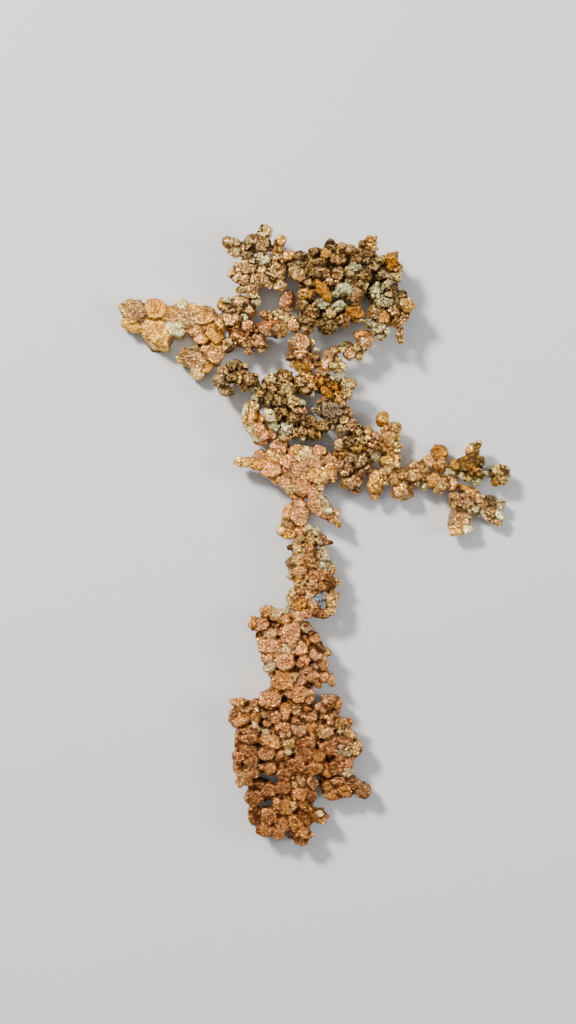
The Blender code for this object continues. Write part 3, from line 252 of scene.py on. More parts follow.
ORANGE_BAND = [
    (4.3, NUGGET, [
        (-1.7, 20.8, 2.2, 1.4, YELLOW, -20), (-1.1, 19.8, 2.2, 1.4, AMBER, -35),
        (-1.8, 18.9, 1.7, 1.4, PINK), (-0.6, 18.7, 1.8, 1.5, AMBER), (0.5, 19.0, 1.9, 1.4, RUST, -30),
        (-1.1, 17.9, 1.8, 1.2, BROWN), (0.7, 20.1, 1.7, 1.3, PINK), (1.4, 19.3, 1.8, 1.3, YELLOW),
        (2.1, 18.5, 2.0, 1.4, RUST, -10), (1.4, 17.7, 1.8, 1.2, RUST, -40), (4.0, 18.7, 2.0, 1.5, PALE),
        (3.8, 17.6, 1.7, 1.5, PALE), (2.9, 16.9, 2.0, 1.6, AMBER, -40), (2.9, 19.5, 1.5, 1.0, GREEN)]),
    (2.9, PLATE, [
        (-0.2, 19.1, 4.2, 2.2, BROWN, -30), (2.6, 18.2, 3.0, 2.2, BROWN, -20)]),
    specks(4.9, [
        (-0.5, 17.4, 0.9, 0.7, GREEN), (2.1, 19.5, 1.0, 0.8, GREEN), (3.5, 16.3, GRAY)])]
CRESCENT = [
    (3.2, NUGGET, [
        (-8.0, 15.9, 2.0, 1.5, PALE, 25), (-8.1, 14.9, 2.4, 1.8, GOLD, 80),
        (-7.5, 14.4, 2.3, 1.7, AMBER, -20), (-8.0, 13.6, 2.3, 1.7, TAN, -60),
        (-7.1, 13.0, 2.3, 1.8, ROSE, -40), (-6.6, 12.4, 2.2, 1.8, PINK), (-5.6, 12.4, 1.5, 1.2, PINK)]),
    (3.7, NUGGET, [
        (-8.8, 15.2, 2.6, 0.7, WHITE, 78), (-8.9, 14.0, 1.6, 0.6, PALE, 100),
        (-8.3, 13.0, 1.8, 0.7, WHITE, -50), (-7.6, 12.0, 1.5, 0.6, WHITE, -50)]),
    specks(3.8, [
        (-6.9, 11.6, 1.9, 0.9, PINK)])]
RIGHT_ARM = [
    (2.5, NUGGET, [
        (8.4, 14.5, 2.0, 1.6, GOLD, 75), (9.9, 13.5, 1.8, 1.4, HAY), (8.8, 13.2, 1.6, 1.2, PINK, 60),
        (9.2, 12.3, 2.1, 1.5, ROSE), (10.3, 12.3, 1.1, 0.8, PALE, 80), (8.9, 11.0, 2.5, 1.6, ROSE),
        (10.2, 11.1, 1.6, 1.1, PALE, -20), (9.6, 10.1, 1.7, 1.3, PINK), (10.2, 9.6, 1.2, 1.0, PINK),
        (8.9, 9.2, 2.0, 1.6, GOLD), (8.9, 8.2, 1.9, 1.4, HAY, 20), (9.9, 8.0, 1.9, 1.3, PINK),
        (8.6, 7.2, 1.6, 1.4, PINK, -40), (9.9, 7.0, 1.7, 1.5, TAN, 70), (11.1, 7.4, 1.8, 1.6, TAN),
        (12.3, 7.4, 1.9, 1.8, HAY), (12.5, 8.6, 1.9, 1.2, PINK), (13.4, 8.3, 1.7, 1.4, HAY, -20),
        (14.2, 9.2, 1.8, 1.7, PINK, 80), (15.5, 8.8, 1.8, 1.6, ROSE, 80), (15.6, 10.4, 2.2, 1.7, RUST, -30),
        (13.6, 7.1, 1.7, 1.6, PINK), (14.6, 6.9, 1.9, 1.7, AMBER), (15.6, 6.2, 2.1, 1.9, HAY),
        (16.9, 6.4, 2.0, 1.9, PINK, -30), (12.6, 6.5, 1.1, 1.0, GRAY), (13.8, 6.1, 1.3, 0.9, WHITE, 60),
        (7.5, 6.5, 3.0, 2.0, GOLD, 85), (7.4, 4.8, 1.2, 1.0, ROSE), (11.0, 5.4, 2.6, 2.3, HAY)]),
    (1.8, PLATE, [
        (9.2, 10.8, 2.6, 1.8, ROSE, 80), (12.6, 7.6, 4.0, 2.0, ROSE), (15.8, 6.6, 2.8, 2.0, ROSE)]),
    specks(3.1, [
        (10.3, 10.5, PALE), (10.2, 8.7, PALE), (8.7, 6.4, 0.9, 0.6, PALE), (15.2, 5.6, PALE)])]
UPPER_TWIG = [
    (2.7, NUGGET, [
        (17.6, 8.6, 1.9, 1.7, YELLOW), (18.7, 8.8, 2.3, 1.9, YELLOW), (19.4, 9.3, 1.9, 1.6, DARK, 20),
        (20.3, 9.2, 1.8, 1.6, DARK, -40), (19.5, 8.0, 2.5, 1.4, YELLOW, -15), (20.2, 7.4, 1.6, 1.2, YELLOW),
        (19.5, 10.6, 1.9, 1.4, TAN, 45), (20.3, 11.3, 1.3, 1.0, WHITE, 45),
        (18.3, 7.5, 2.1, 1.1, GREEN, -30), (16.9, 7.8, 1.7, 1.0, GREEN), (20.1, 6.7, 1.4, 1.1, GREEN, -30),
        (21.4, 7.9, 1.6, 1.5, GREEN), (22.7, 8.1, 1.8, 1.4, PALE, 20), (23.7, 7.9, 1.7, 1.3, PALE, -70),
        (23.4, 6.9, 1.6, 1.2, PALE, -10), (22.6, 6.7, 1.3, 1.3, GOLD)]),
    specks(3.3, [
        (20.3, 10.5, 0.6, 1.0, WHITE), (19.1, 7.0, PALE), (20.0, 10.4, 0.8, 0.6, BROWN, 30),
        (20.4, 11.0, 0.7, 0.5, DARK, 30), (21.3, 8.3, 0.9, 0.7, BLUE), (21.8, 7.5, 0.8, 0.6, DARK),
        (23.6, 7.4, 0.9, 0.8, WHITE), (24.0, 8.2, 0.9, 0.7, WHITE, -60)]),
    specks(3.6, [
        (18.2, 9.1, 0.9, 0.7, AMBER, 20), (18.9, 8.3, 0.9, 0.7, YELLOW, -30),
        (17.9, 8.3, 0.9, 0.7, YELLOW, 60), (19.1, 9.2, 1.0, 0.7, BROWN), (18.6, 9.5, 0.8, 0.7, YELLOW),
        (19.9, 8.1, 0.9, 0.7, AMBER, 40), (20.4, 7.5, 0.8, 0.6, YELLOW, -20),
        (19.4, 7.7, 0.8, 0.6, BROWN, 10), (20.6, 8.9, 0.8, 0.7, BROWN)])]
LOWER_TWIG = [
    (1.5, NUGGET, [
        (19.4, 5.6, 2.9, 1.1, AMBER, -20), (17.6, 4.7, 1.7, 1.5, PINK), (18.8, 4.7, 1.7, 1.5, PINK, 10),
        (20.5, 4.6, 2.0, 1.2, ROSE, -10), (22.2, 4.4, 2.1, 1.0, DARK, -18),
        (23.2, 3.9, 1.2, 1.2, WHITE, -20), (21.6, 3.7, 1.8, 1.4, PINK), (17.5, 3.7, 1.5, 1.4, TAN),
        (18.4, 3.5, 1.6, 1.5, BROWN), (19.5, 3.4, 1.8, 1.3, PALE, -50), (20.5, 3.0, 1.6, 1.2, WHITE, -40),
        (21.3, 2.4, 1.9, 0.9, GRAY, -45), (22.0, 3.0, 1.9, 1.4, TAN, -30),
        (22.9, 2.6, 2.3, 1.0, WHITE, -48), (22.6, 1.8, 2.0, 1.1, TAN, -38)]),
    (1.5, BLOCK, [
        (18.1, 1.6, 2.5, 2.3, ROSE, 80)]),
    (2.2, BLOCK, [
        (18.9, 0.8, 1.5, 1.3, WHITE, 35), (17.6, 0.5, 1.5, 1.2, AMBER, 5)]),
    specks(2.1, [
        (22.7, 4.2, 1.5, 0.5, PINK, -20), (23.4, 3.5, WHITE), (20.0, 3.2, WHITE), (22.3, 3.5, PALE)])]
COLUMN = [
    (3.9, NUGGET, [
        (-2.0, 23.8, 2.5, 2.2, PINK), (-0.7, 24.0, 1.3, 0.9, PALE), (-1.9, 22.6, 2.0, 1.4, PINK),
        (-3.0, 22.2, 1.4, 1.2, DARK), (-1.3, 21.8, 2.1, 1.2, PINK), (-0.2, 22.1, 1.5, 1.3, BROWN),
        (0.4, 21.2, 1.5, 1.2, TAN)]),
    (3.0, PLATE, [
        (-1.6, 22.8, 3.0, 2.0, PINK, 80)]),
    specks(4.5, [
        (0.1, 23.0, 0.9, 0.7, GREEN), (-3.0, 24.1, 1.0, 0.8, PALE), (-2.8, 21.1, 1.0, 0.9, PALE),
        (-0.6, 20.9, ROSE)])]
STRUT = [
    (3.7, NUGGET, [
        (5.9, 24.8, 2.3, 1.4, AMBER), (6.2, 23.9, 2.4, 1.7, PINK, 45), (5.3, 23.1, 1.8, 1.4, PALE),
        (5.4, 22.4, 1.6, 1.1, PALE, 100), (4.3, 22.6, 1.7, 1.5, TAN), (3.8, 23.5, 1.9, 1.3, DARK),
        (2.4, 23.0, 1.6, 1.1, PINK), (1.7, 22.3, 1.6, 1.4, PINK), (1.5, 21.3, 2.1, 1.7, PINK, 80),
        (2.6, 21.9, 1.3, 1.0, PALE), (3.3, 21.0, 1.4, 1.1, PALE), (2.7, 20.6, 1.3, 1.0, PALE)]),
    specks(4.3, [
        (3.6, 23.0, 1.4, 0.9, PALE), (2.2, 21.0, 1.3, 0.8, PALE)])]
SPUR = [
    (3.2, NUGGET, [
        (-11.5, 20.4, 1.6, 1.4, TAN), (-10.5, 21.0, 1.6, 1.3, DARK, 45), (-11.7, 19.1, 2.3, 1.8, GRAY, -30),
        (-11.2, 18.0, 2.0, 1.5, DARK, -20), (-9.8, 19.5, 1.8, 1.3, GOLD, -50),
        (-9.2, 20.8, 2.8, 1.1, DARK, -48), (-8.8, 18.5, 1.5, 1.1, DARK, 60),
        (-8.2, 19.4, 2.3, 1.7, BROWN, -20), (-7.4, 18.6, 1.5, 1.3, GRAY)]),
    specks(3.8, [
        (-10.4, 19.5, 1.2, 0.9, DARK), (-8.8, 21.1, PINK), (-7.5, 19.8, PALE)])]
LEFT_ARM = [
    (1.5, NUGGET, [
        (-22.7, 28.1, 3.5, 2.6, MAUVE, -20), (-23.0, 26.5, 2.7, 1.9, GOLD, -30),
        (-20.1, 28.3, 2.9, 2.5, AMBER, 10), (-19.9, 25.3, 4.2, 3.3, GOLD, -62),
        (-19.2, 23.9, 1.9, 1.5, GOLD, -50), (-18.0, 27.6, 2.4, 2.0, ROSE, 60),
        (-17.5, 25.8, 2.3, 1.9, WHITE, -20), (-17.0, 28.8, 1.9, 1.3, WHITE, 25),
        (-15.6, 28.5, 1.5, 1.2, GOLD), (-13.9, 27.6, 2.9, 2.5, GOLD, -15),
        (-15.9, 27.0, 2.8, 2.5, MAUVE, -20), (-15.0, 25.7, 2.7, 1.9, PINK, -20),
        (-14.3, 24.5, 1.7, 1.5, PINK), (-13.2, 25.8, 2.1, 1.8, PINK), (-12.7, 22.9, 2.8, 2.4, ROSE, 70),
        (-15.2, 22.1, 3.7, 2.7, MAUVE, -25), (-16.9, 21.9, 1.6, 0.9, PALE, -40),
        (-14.8, 20.3, 1.7, 1.5, PALE), (-13.7, 21.1, 1.7, 1.4, GOLD, 50)]),
    specks(2.1, [
        (-24.2, 28.6, 0.9, 0.9, PALE), (-16.1, 26.2, RED), (-12.7, 24.9, 2.2, 1.8, AMBER, -20),
        (-15.1, 23.3, GRAY), (-13.9, 23.2, 1.3, 1.0, PINK)])]
LEFT_BOUGH = [
    (3.0, NUGGET, [
        (-11.6, 28.8, 1.6, 1.3, AMBER, 60), (-9.5, 29.0, 2.8, 1.9, PALE, 10), (-10.5, 27.9, 2.4, 1.8, HAY),
        (-8.3, 28.3, 2.4, 1.9, HAY, 80), (-7.5, 29.2, 1.9, 1.4, GREEN, 80), (-10.6, 26.9, 2.8, 1.8, HAY, 5),
        (-11.9, 26.2, 1.9, 1.5, GOLD, -60), (-10.2, 26.1, 2.0, 1.4, GOLD, -20),
        (-8.4, 26.0, 1.9, 1.6, PINK), (-7.2, 25.7, 2.0, 1.5, RED, -20), (-9.7, 24.7, 2.3, 1.8, PINK, 65),
        (-10.8, 23.7, 2.0, 1.7, PALE, 50), (-8.5, 24.0, 1.9, 1.7, BROWN),
        (-6.9, 24.0, 2.2, 1.8, PINK, -40)]),
    (2.4, PLATE, [
        (-10.2, 27.4, 3.4, 2.4, PINK, 30), (-9.2, 25.2, 3.4, 2.2, PINK, -20)]),
    specks(3.6, [
        (-11.0, 29.2, 1.2, 0.9, GREEN), (-9.3, 28.1, PALE), (-7.8, 29.9, 1.4, 1.2, PALE),
        (-8.8, 27.3, 1.0, 0.8, GREEN), (-6.6, 25.6, 1.0, 1.0, PALE), (-10.5, 23.3, PINK),
        (-6.7, 23.0, PALE), (-8.3, 22.8, 1.4, 0.8, PINK)])]
CROSSBAR = [
    (3.5, NUGGET, [
        (-6.1, 27.4, 1.6, 1.1, PALE), (-3.9, 27.0, 2.9, 1.7, PALE, -20), (-5.6, 26.2, 2.4, 1.6, RED, 10),
        (-4.6, 25.4, 2.3, 1.7, BROWN, 10), (-2.7, 26.2, 2.1, 1.5, PINK, -45),
        (-3.5, 29.1, 2.6, 1.9, PINK, 80), (-4.2, 27.9, 1.4, 1.1, PALE, 40)]),
    specks(4.1, [
        (-3.5, 28.2, 1.5, 1.0, PINK), (-6.5, 27.5, 1.0, 0.9, PINK), (-5.6, 25.0, 1.6, 0.9, DARK)])]
CROWN_LEFT = [
    (3.9, NUGGET, [
        (-11.0, 36.4, 1.6, 1.3, PINK, 90), (-10.0, 36.4, 1.6, 1.3, TAN), (-10.2, 35.2, 2.0, 1.3, PALE, -40),
        (-8.9, 35.8, 1.5, 1.3, BROWN), (-8.0, 36.5, 2.4, 1.9, BROWN, 20), (-6.6, 36.1, 2.1, 2.0, BROWN),
        (-6.3, 37.7, 1.9, 1.7, PALE, 60), (-4.5, 36.4, 1.8, 1.3, AMBER, 60), (-4.9, 35.6, 1.7, 1.2, GOLD),
        (-8.8, 33.3, 2.9, 2.0, TAN, 15), (-10.3, 32.5, 1.4, 1.3, TAN), (-9.3, 32.0, 2.2, 1.6, PINK, -10),
        (-7.9, 31.8, 1.9, 1.3, PINK, 25), (-6.6, 34.2, 2.1, 1.7, WHITE, -50), (-6.5, 33.0, 1.6, 1.4, TAN),
        (-4.9, 34.4, 1.7, 1.5, TAN), (-4.9, 32.5, 2.9, 2.4, TAN, 25), (-4.5, 31.0, 1.8, 1.4, TAN),
        (-6.3, 31.6, 1.5, 1.3, PALE), (-7.7, 30.7, 2.0, 1.3, PINK, 35), (-9.0, 30.6, 1.9, 1.1, PALE, 10),
        (-3.3, 34.6, 1.8, 1.4, GOLD), (-2.1, 34.7, 1.7, 1.3, BROWN), (-2.4, 33.5, 2.2, 1.4, DARK)]),
    (2.7, PLATE, [
        (-7.6, 36.0, 3.8, 2.0, TAN, 10), (-7.9, 32.7, 3.8, 2.4, TAN, 10), (-5.0, 33.4, 3.2, 3.0, TAN, 60)]),
    specks(4.5, [
        (-6.8, 37.8, WHITE), (-8.5, 34.7, 1.8, 0.9, DARK), (-7.7, 34.0, 0.9, 0.8, PALE),
        (-5.8, 30.9, 1.0, 0.9, TAN)])]
CROWN_RIGHT = [
    (4.8, NUGGET, [
        (-2.3, 32.3, 2.2, 1.6, TAN, -40), (-1.2, 31.5, 2.0, 1.2, BROWN, -50), (0.0, 35.0, 1.7, 1.4, BROWN),
        (1.2, 34.9, 1.6, 1.4, AMBER), (0.4, 33.8, 1.9, 1.4, DARK), (2.0, 35.8, 1.8, 1.4, BROWN, -30),
        (3.1, 35.6, 1.8, 1.4, TAN), (4.3, 35.3, 1.6, 1.4, PINK), (2.8, 34.2, 2.0, 1.6, BROWN),
        (6.6, 36.1, 2.1, 1.8, AMBER, 60), (6.4, 34.8, 2.0, 1.4, BROWN), (5.2, 34.1, 1.8, 1.4, BROWN),
        (4.7, 33.0, 2.2, 1.5, GREEN, 10), (2.9, 32.4, 2.0, 1.6, PINK, 30), (0.7, 32.6, 2.1, 1.5, PINK, -5),
        (1.9, 31.5, 1.9, 1.3, PINK), (5.9, 32.1, 2.1, 1.6, DARK), (4.4, 31.5, 1.7, 1.3, DARK),
        (7.3, 33.4, 1.9, 1.7, DARK), (8.2, 32.4, 1.8, 1.5, GRAY), (9.5, 34.1, 2.3, 1.9, RUST, 50),
        (9.8, 33.0, 1.7, 1.5, GOLD), (9.6, 31.9, 2.0, 1.4, PALE, -20), (9.1, 30.9, 1.8, 1.5, GRAY),
        (0.9, 30.3, 3.2, 1.3, RUST, -53), (3.4, 30.3, 1.9, 1.6, GREEN), (5.0, 29.8, 2.3, 1.8, BROWN, 80),
        (5.9, 30.7, 1.7, 1.2, PALE, 60), (7.6, 30.2, 1.9, 1.7, GREEN, 40), (8.4, 29.0, 2.1, 1.5, GREEN),
        (10.6, 29.8, 1.5, 1.1, DARK), (11.1, 28.5, 2.1, 1.7, GOLD, -40)]),
    (2.1, BASE, [
        (-1.0, 33.4, 3.6, 3.0, BROWN, -40), (2.0, 33.8, 4.4, 3.6, BROWN), (5.7, 34.0, 4.4, 3.8, BROWN, 20),
        (8.8, 33.0, 3.8, 3.4, BROWN, 60), (1.2, 31.4, 3.8, 2.6, BROWN, -40), (4.6, 31.0, 4.4, 3.0, BROWN),
        (8.3, 30.2, 4.0, 3.2, BROWN, -30)]),
    specks(5.4, [
        (-0.3, 35.0, 1.3, 1.1, BROWN), (1.8, 36.2, 1.1, 1.0, BROWN), (5.8, 36.0, 1.2, 1.0, BROWN),
        (7.3, 35.4, 1.0, 0.6, PALE), (6.4, 33.8, GRAY), (4.2, 32.3, PALE), (0.2, 32.2, 1.4, 0.9, DARK),
        (2.6, 31.3, PINK), (8.0, 34.0, 1.1, 1.0, PALE), (9.6, 30.7, 1.3, 1.0, BROWN), (2.4, 29.8, GREEN),
        (5.4, 31.0, BROWN), (7.8, 29.7, PALE), (9.0, 29.7, PALE)])]
CROWN_LOWER = [
    (4.4, NUGGET, [
        (-1.2, 29.9, 2.0, 1.8, AMBER), (-1.3, 30.9, 1.6, 1.3, BROWN), (-1.5, 28.5, 1.7, 1.5, BROWN),
        (-0.5, 27.8, 2.1, 1.8, TAN), (-1.0, 26.5, 2.0, 1.5, BROWN), (-1.1, 25.6, 1.7, 1.5, BROWN, 70),
        (0.9, 28.7, 2.0, 1.4, GREEN, -20), (2.8, 28.4, 2.2, 1.3, GREEN, 20),
        (1.7, 27.4, 2.1, 1.3, PALE, 40), (4.8, 27.6, 2.3, 1.9, RUST, -40), (3.4, 26.8, 1.8, 1.6, PINK),
        (1.5, 25.8, 2.4, 1.8, DARK, 10)]),
    (2.9, PLATE, [
        (-0.9, 27.8, 3.6, 2.2, BROWN, 80), (1.5, 27.4, 3.6, 3.0, BROWN, 20), (3.6, 27.8, 3.0, 2.2, BROWN)]),
    specks(5.0, [
        (3.7, 26.0, BROWN), (0.6, 26.0, 1.3, 1.0, DARK), (5.3, 26.6, 1.2, 0.6, PALE)])]
CROWN_FALL = [
    (4.2, NUGGET, [
        (7.3, 27.6, 2.1, 1.8, TAN, 60), (7.9, 28.4, 1.8, 1.5, GREEN, 90), (8.3, 26.9, 1.8, 1.6, AMBER),
        (6.7, 26.2, 1.4, 1.1, GREEN), (9.7, 27.7, 1.8, 1.6, PINK), (10.8, 27.3, 1.7, 1.4, TAN),
        (10.2, 26.4, 2.0, 1.4, PINK), (10.5, 25.0, 1.9, 1.1, PINK, 90), (7.9, 25.6, 2.0, 1.6, WHITE),
        (8.2, 24.6, 1.4, 1.2, WHITE)]),
    (2.8, PLATE, [
        (9.0, 27.3, 4.0, 2.4, TAN)]),
    specks(4.8, [
        (8.6, 27.2, TAN), (10.6, 24.1, 0.9, 0.9, TAN), (8.8, 25.2, 1.0, 0.7, WHITE)])]

CENTRE = Vector((-0.061, 0.028, 0.0))  # the middle of the listed crystals


class Habit(NamedTuple):
    """How a branch grows. Lobes and knobs are counted for one crystal."""

    lobes: int               # grains around each crystal
    knobs: float             # grains on its faces
    lumps: float             # half the height of the skin's lumps, and their size
    lump_size: float
    seam: float              # how deep the cracks between crystals are
    dirt: float              # how dirty these are at most
    grain: float = 0.08      # half the height of the skin's grain, and its size
    grain_size: float = 0.20
    cell: float = 0.115      # the cell of the skin
    tabular: float = 0.5     # the share of tabular crystals
    fullness: float = 1.08   # how far crystals swell beyond their listed size
    level: float = 0.2       # how far their tops are drawn to one height
    webs: float = 0.0        # how thick the copper between neighbours is, as a share of theirs
    shared: float = 0.0      # how far every crystal takes on the colour of its branch


SMOOTH = Habit(lobes=3, knobs=0.2, lumps=0.05, lump_size=1.1, seam=0.05, dirt=0.4, grain=0.07,
               tabular=1.0, fullness=1.13, level=0.6, webs=0.7)
COINS = Habit(lobes=4, knobs=0.4, lumps=0.05, lump_size=0.75, seam=0.085, dirt=0.6, grain=0.09,
              cell=0.130, tabular=0.9, fullness=1.12, level=0.8, webs=0.75, shared=0.40)
KNOTS = Habit(lobes=3, knobs=0.8, lumps=0.07, lump_size=0.65, seam=0.12, dirt=0.9)
CLUSTERS = Habit(lobes=5, knobs=3.0, lumps=0.06, lump_size=0.55, seam=0.10, dirt=0.7, grain=0.09,
                 grain_size=0.18, cell=0.11, tabular=0.3)
BEADS = Habit(lobes=3, knobs=1.6, lumps=0.06, lump_size=0.60, seam=0.08, dirt=0.2)
CRUMBS = Habit(lobes=7, knobs=8.0, lumps=0.08, lump_size=0.34, seam=0.06, dirt=0.4, grain=0.10,
               grain_size=0.16, cell=0.10, tabular=0.3, level=0.5, webs=0.8)

# Name, layers, habit and slot of each branch.
BRANCHES = [
    ("trunk", TRUNK + TAIL + TRUNK_LEFT + TRUNK_RIGHT, COINS, "brown_copper"),
    ("toe", TOE, COINS, "brown_copper"),
    ("stem", STEM, CRUMBS, "brown_copper"),
    ("lower_slab", LOWER_SLAB + FOOT, SMOOTH, "pink_copper"),
    ("claw", CLAW, SMOOTH, "pink_copper"),
    ("hub", HUB + HUB_RIGHT + DROPS + ORANGE_BAND, CLUSTERS, "dark_copper"),
    ("crescent", CRESCENT, SMOOTH, "pink_copper"),
    ("column", COLUMN, BEADS, "pink_copper"),
    ("strut", STRUT, BEADS, "pale_copper"),
    ("spur", SPUR, KNOTS, "dark_copper"),
    ("crown_right", CROWN_RIGHT + CROWN_LOWER + CROWN_FALL, CLUSTERS, "dark_copper"),
    ("crown_left", CROWN_LEFT, KNOTS, "pale_copper"),
    ("crossbar", CROSSBAR, BEADS, "pink_copper"),
    ("left_bough", LEFT_BOUGH, KNOTS, "pink_copper"),
    ("left_arm", LEFT_ARM, SMOOTH, "golden_copper"),
    ("right_arm", RIGHT_ARM, BEADS, "golden_copper"),
    ("upper_twig", UPPER_TWIG, CLUSTERS, "golden_copper"),
    ("lower_twig", LOWER_TWIG, BEADS, "pale_copper"),
]


class Finish(NamedTuple):
    """The copper of one slot."""

    body: tuple      # the copper under the tarnish
    pits_and_shade: tuple    # the colour of its pits, and of the painted shade in its seams and hollows
    glint: tuple     # the colour of its painted glints and highlights, and of the copper rubbed bare on its edges
    pits: float      # how dark its pits are
    shine: float     # how strong its painted highlights and rubbed copper are
    patches: float   # how strong its brown and amber patches are


FINISHES = {
    "brown_copper": Finish((0.515, 0.206, 0.068), (0.038, 0.010, 0.002), (1.00, 0.52, 0.16),
                           0.75, 0.55, 0.15),
    "pink_copper": Finish((0.47, 0.182, 0.042), (0.032, 0.015, 0.005), (1.00, 0.63, 0.24),
                          0.85, 0.75, 0.30),
    "dark_copper": Finish((0.23, 0.106, 0.040), (0.024, 0.010, 0.003), (1.00, 0.72, 0.25),
                          0.95, 1.00, 0.50),
    "pale_copper": Finish((0.40, 0.190, 0.048), (0.032, 0.015, 0.005), (1.00, 0.78, 0.34),
                          0.85, 0.90, 0.40),
    "golden_copper": Finish((0.50, 0.222, 0.062), (0.058, 0.028, 0.009), (1.00, 0.69, 0.15),
                            0.85, 0.85, 0.50),
}

# Towards the foot the copper turns to one darker, browner colour, a painted shadow: below a
# height on the cluster, over a length, and with more of it showing through the tarnish.
FOOT_SHADOW = (0.25, 0.080, 0.026)
FOOT_TOP = -14.0
FOOT_LENGTH = 12.0
FOOT_SHARED = 0.2

# The unit forms.
SOFTENED = 2                 # segments of each bevel
WELD = 0.01
RIM_WIDTH = 0.12             # the rim around a sunk face, and how far the face is sunk
FACE_DEPTH = 0.08

# How a crystal lies and how its colour varies.
TILT = math.radians(12)      # how far it leans
HEIGHT_SPREAD = 0.25         # how far it sits above or below its layer's middle
LEVEL_TOP = 1.0              # how far level tops stand above their layer's middle
SHADES = (0.84, 1.18)
PALEST = 0.1                 # the least colour value of the pale crusts
CRUST_DIRT = 0.6
SPECK_DIRT = 1.0

# The grains on a crystal: how far out they sit, how large they are as a share of the crystal's
# half width and at most, and how their number, shade and proportions vary.
GRAIN_SHADES = (0.85, 1.15)
GRAIN_SIDES = (0.8, 1.2)
CRUST_BITS = 7
CRUST_REACH = (-0.8, 0.8)
CRUST_SIZE = (0.20, 0.34)
CRUST_SHADES = (0.4, 0.9, 1.3)
LOBE_COUNT = (0.5, 1.3)
LOBE_REACH = (0.70, 0.90)
LOBE_HEIGHT = (-0.6, 0.62)
LOBE_SIZE = (0.25, 0.42)
LOBE_MOST = 0.42
KNOB_COUNT = (0.4, 1.4)
KNOB_REACH = 0.7
KNOB_HEIGHTS = (-0.85, 0.85)
KNOB_SIZE = (0.18, 0.34)
KNOB_MOST = 0.36

WEB_GAP = 0.45               # the widest gap between two crystals that a web fills
WEB_WIDTH = 0.70             # a web's width as a share of the smaller crystal's
WEB_GRIP = 0.3               # how far it reaches into each of the two

# The cracks between grains.
SEAM_WIDTH = 0.10            # half the width of a crack
WITHIN = 0.35                # how strong the crack between a crystal and its own grains is
FULL_SEAM = 0.11             # the depth at which a seam's painted shade is as dark as any
RIPPLES = 8                  # how many waves make the cracks ragged
RIPPLE_HEIGHT = 0.07
RIPPLE_PITCH = 5
FAR = 9.0                    # farther off than any grain's neighbour
NEAR = 0.5                   # how far outside itself a grain is looked for
LEAST_SHARE = 1e-3
LIP_RISE = 0.06              # how soon the lip beside a seam, painted pale as rubbed copper and highlight, is full
LIP_END = 0.38               # where it ends, and over what length it fades
LIP_FALL = 0.15
CORE_FROM = 0.45             # how far inside its crack a broad crystal begins to darken
CORE_OVER = 0.45

# The relief of the skin: the value of each texture that stays at the surface.
LUMP_LEVEL = 0.25
GRAIN_LEVEL = 0.5
GRAIN_OCTAVES = 2

# How hollows, edges and flanks are told: blur steps, and the height in millimetres that counts
# in full.
BROAD_HOLLOW = (24, 0.16)
NARROW_HOLLOW = (6, 0.07)
SHARP_EDGE = (5, 0.06)
PROUD = (12, 0.08)
PROUD_MARGIN = 0.3
STEEP_STEPS = 3
STEEP_FROM = 0.20
STEEP_OVER = 0.35
# Steep flanks count as edges, which are painted pale: highlight and rubbed copper.
FLANK_HIGHLIGHT = 0.9

# The noises of the tarnish: waves per millimetre, octaves and how strong the finer ones are.
BROAD = (0.9, 3.0, 0.5)
FINE = (5.0, 1.0, 0.5)
SPECKLE = (7.5, 1.0, 0.6)
# The painted sparkles come from cells of this many per millimetre.
SPARKLE_SCALE = 6.0

# Its patterns: the value of the noise at which each starts, and the one at which it is full.
BROWN_PATCHES = (0.55, 0.75)
AMBER_PATCHES = (0.44, 0.25)
CORES = (0.10, 0.70)
PITS = (0.52, 0.36)
POWDER = (0.54, 0.46)
STIPPLES = (0.44, 0.34)
# Painted glints on specks and painted sparkles, painted shade in seams and hollows, and pale edges of
# painted highlight and rubbed copper.
GLINT_SPECKS = (0.58, 0.64)
SPARKLES = (0.80, 0.84)
SEAMS = (0.05, 0.60)
HOLLOWS = (0.25, 0.85)
WEAR_AND_HIGHLIGHT = (0.35, 0.95)

# How strong each pattern is, and what it does to another one.
CORE_STRENGTH = 0.8
LIP_CLEAN = 0.85             # how free a lip is of pits
DIRTY_PITS = 0.06            # how much wider pits are in dirt
POWDER_STRENGTH = 0.85
STIPPLE_STRENGTH = 0.7
GLINT_SHARE = 0.50
RAGGED_HOLLOWS = 0.4
RAGGED_EDGES = 1.2
LIP_WEAR_AND_HIGHLIGHT = 0.6
PIT_DULL = 0.5
CRACK_DULL = 0.7
ROUGHNESS = 0.31
WORN_POLISH = 0.10
BRIGHT_POLISH = 0.13
PIT_ROUGH = 0.2
SPECULAR = 0.05
FINE_HEIGHT = 0.6
SPECKLE_HEIGHT = 0.4
BUMP_HEIGHT = 0.2 * MM

# The sockets of a Mix node that mixes colours.
MIX_SHARE = 0
MIX_FIRST = 6
MIX_SECOND = 7
MIX_RESULT = 2

# The table, the studio and the camera. Places are in metres, powers in watts, and the lens and
# its sensor in millimetres.
TABLE_SIZE = 1.2
TABLE_TOP = -0.02 * MM
TABLE_COLOUR = (0.54, 0.54, 0.54, 1)
TABLE_ROUGHNESS = 0.7
SKY = (0.92, 0.96, 1.0, 1)
SKY_STRENGTH = 0.23
SOFTBOXES = [                # name, place, size, power and colour
    ("key", (-0.20, 0.22, 0.32), 0.07, 4.1, (1.0, 0.96, 0.90)),
    ("overhead", (-0.05, 0.06, 0.45), 0.36, 0.9, (1.0, 1.0, 1.0)),
    ("fill", (0.30, 0.00, 0.24), 0.12, 1.0, (0.96, 0.97, 1.0)),
]
CAMERA_PLACE = (-3.38 * MM, 2.82 * MM, 216.3 * MM)
LENS = 60
SENSOR = 36
CLIP_START = 0.01


def deselect_all():
    bpy.ops.object.select_all(action="DESELECT")


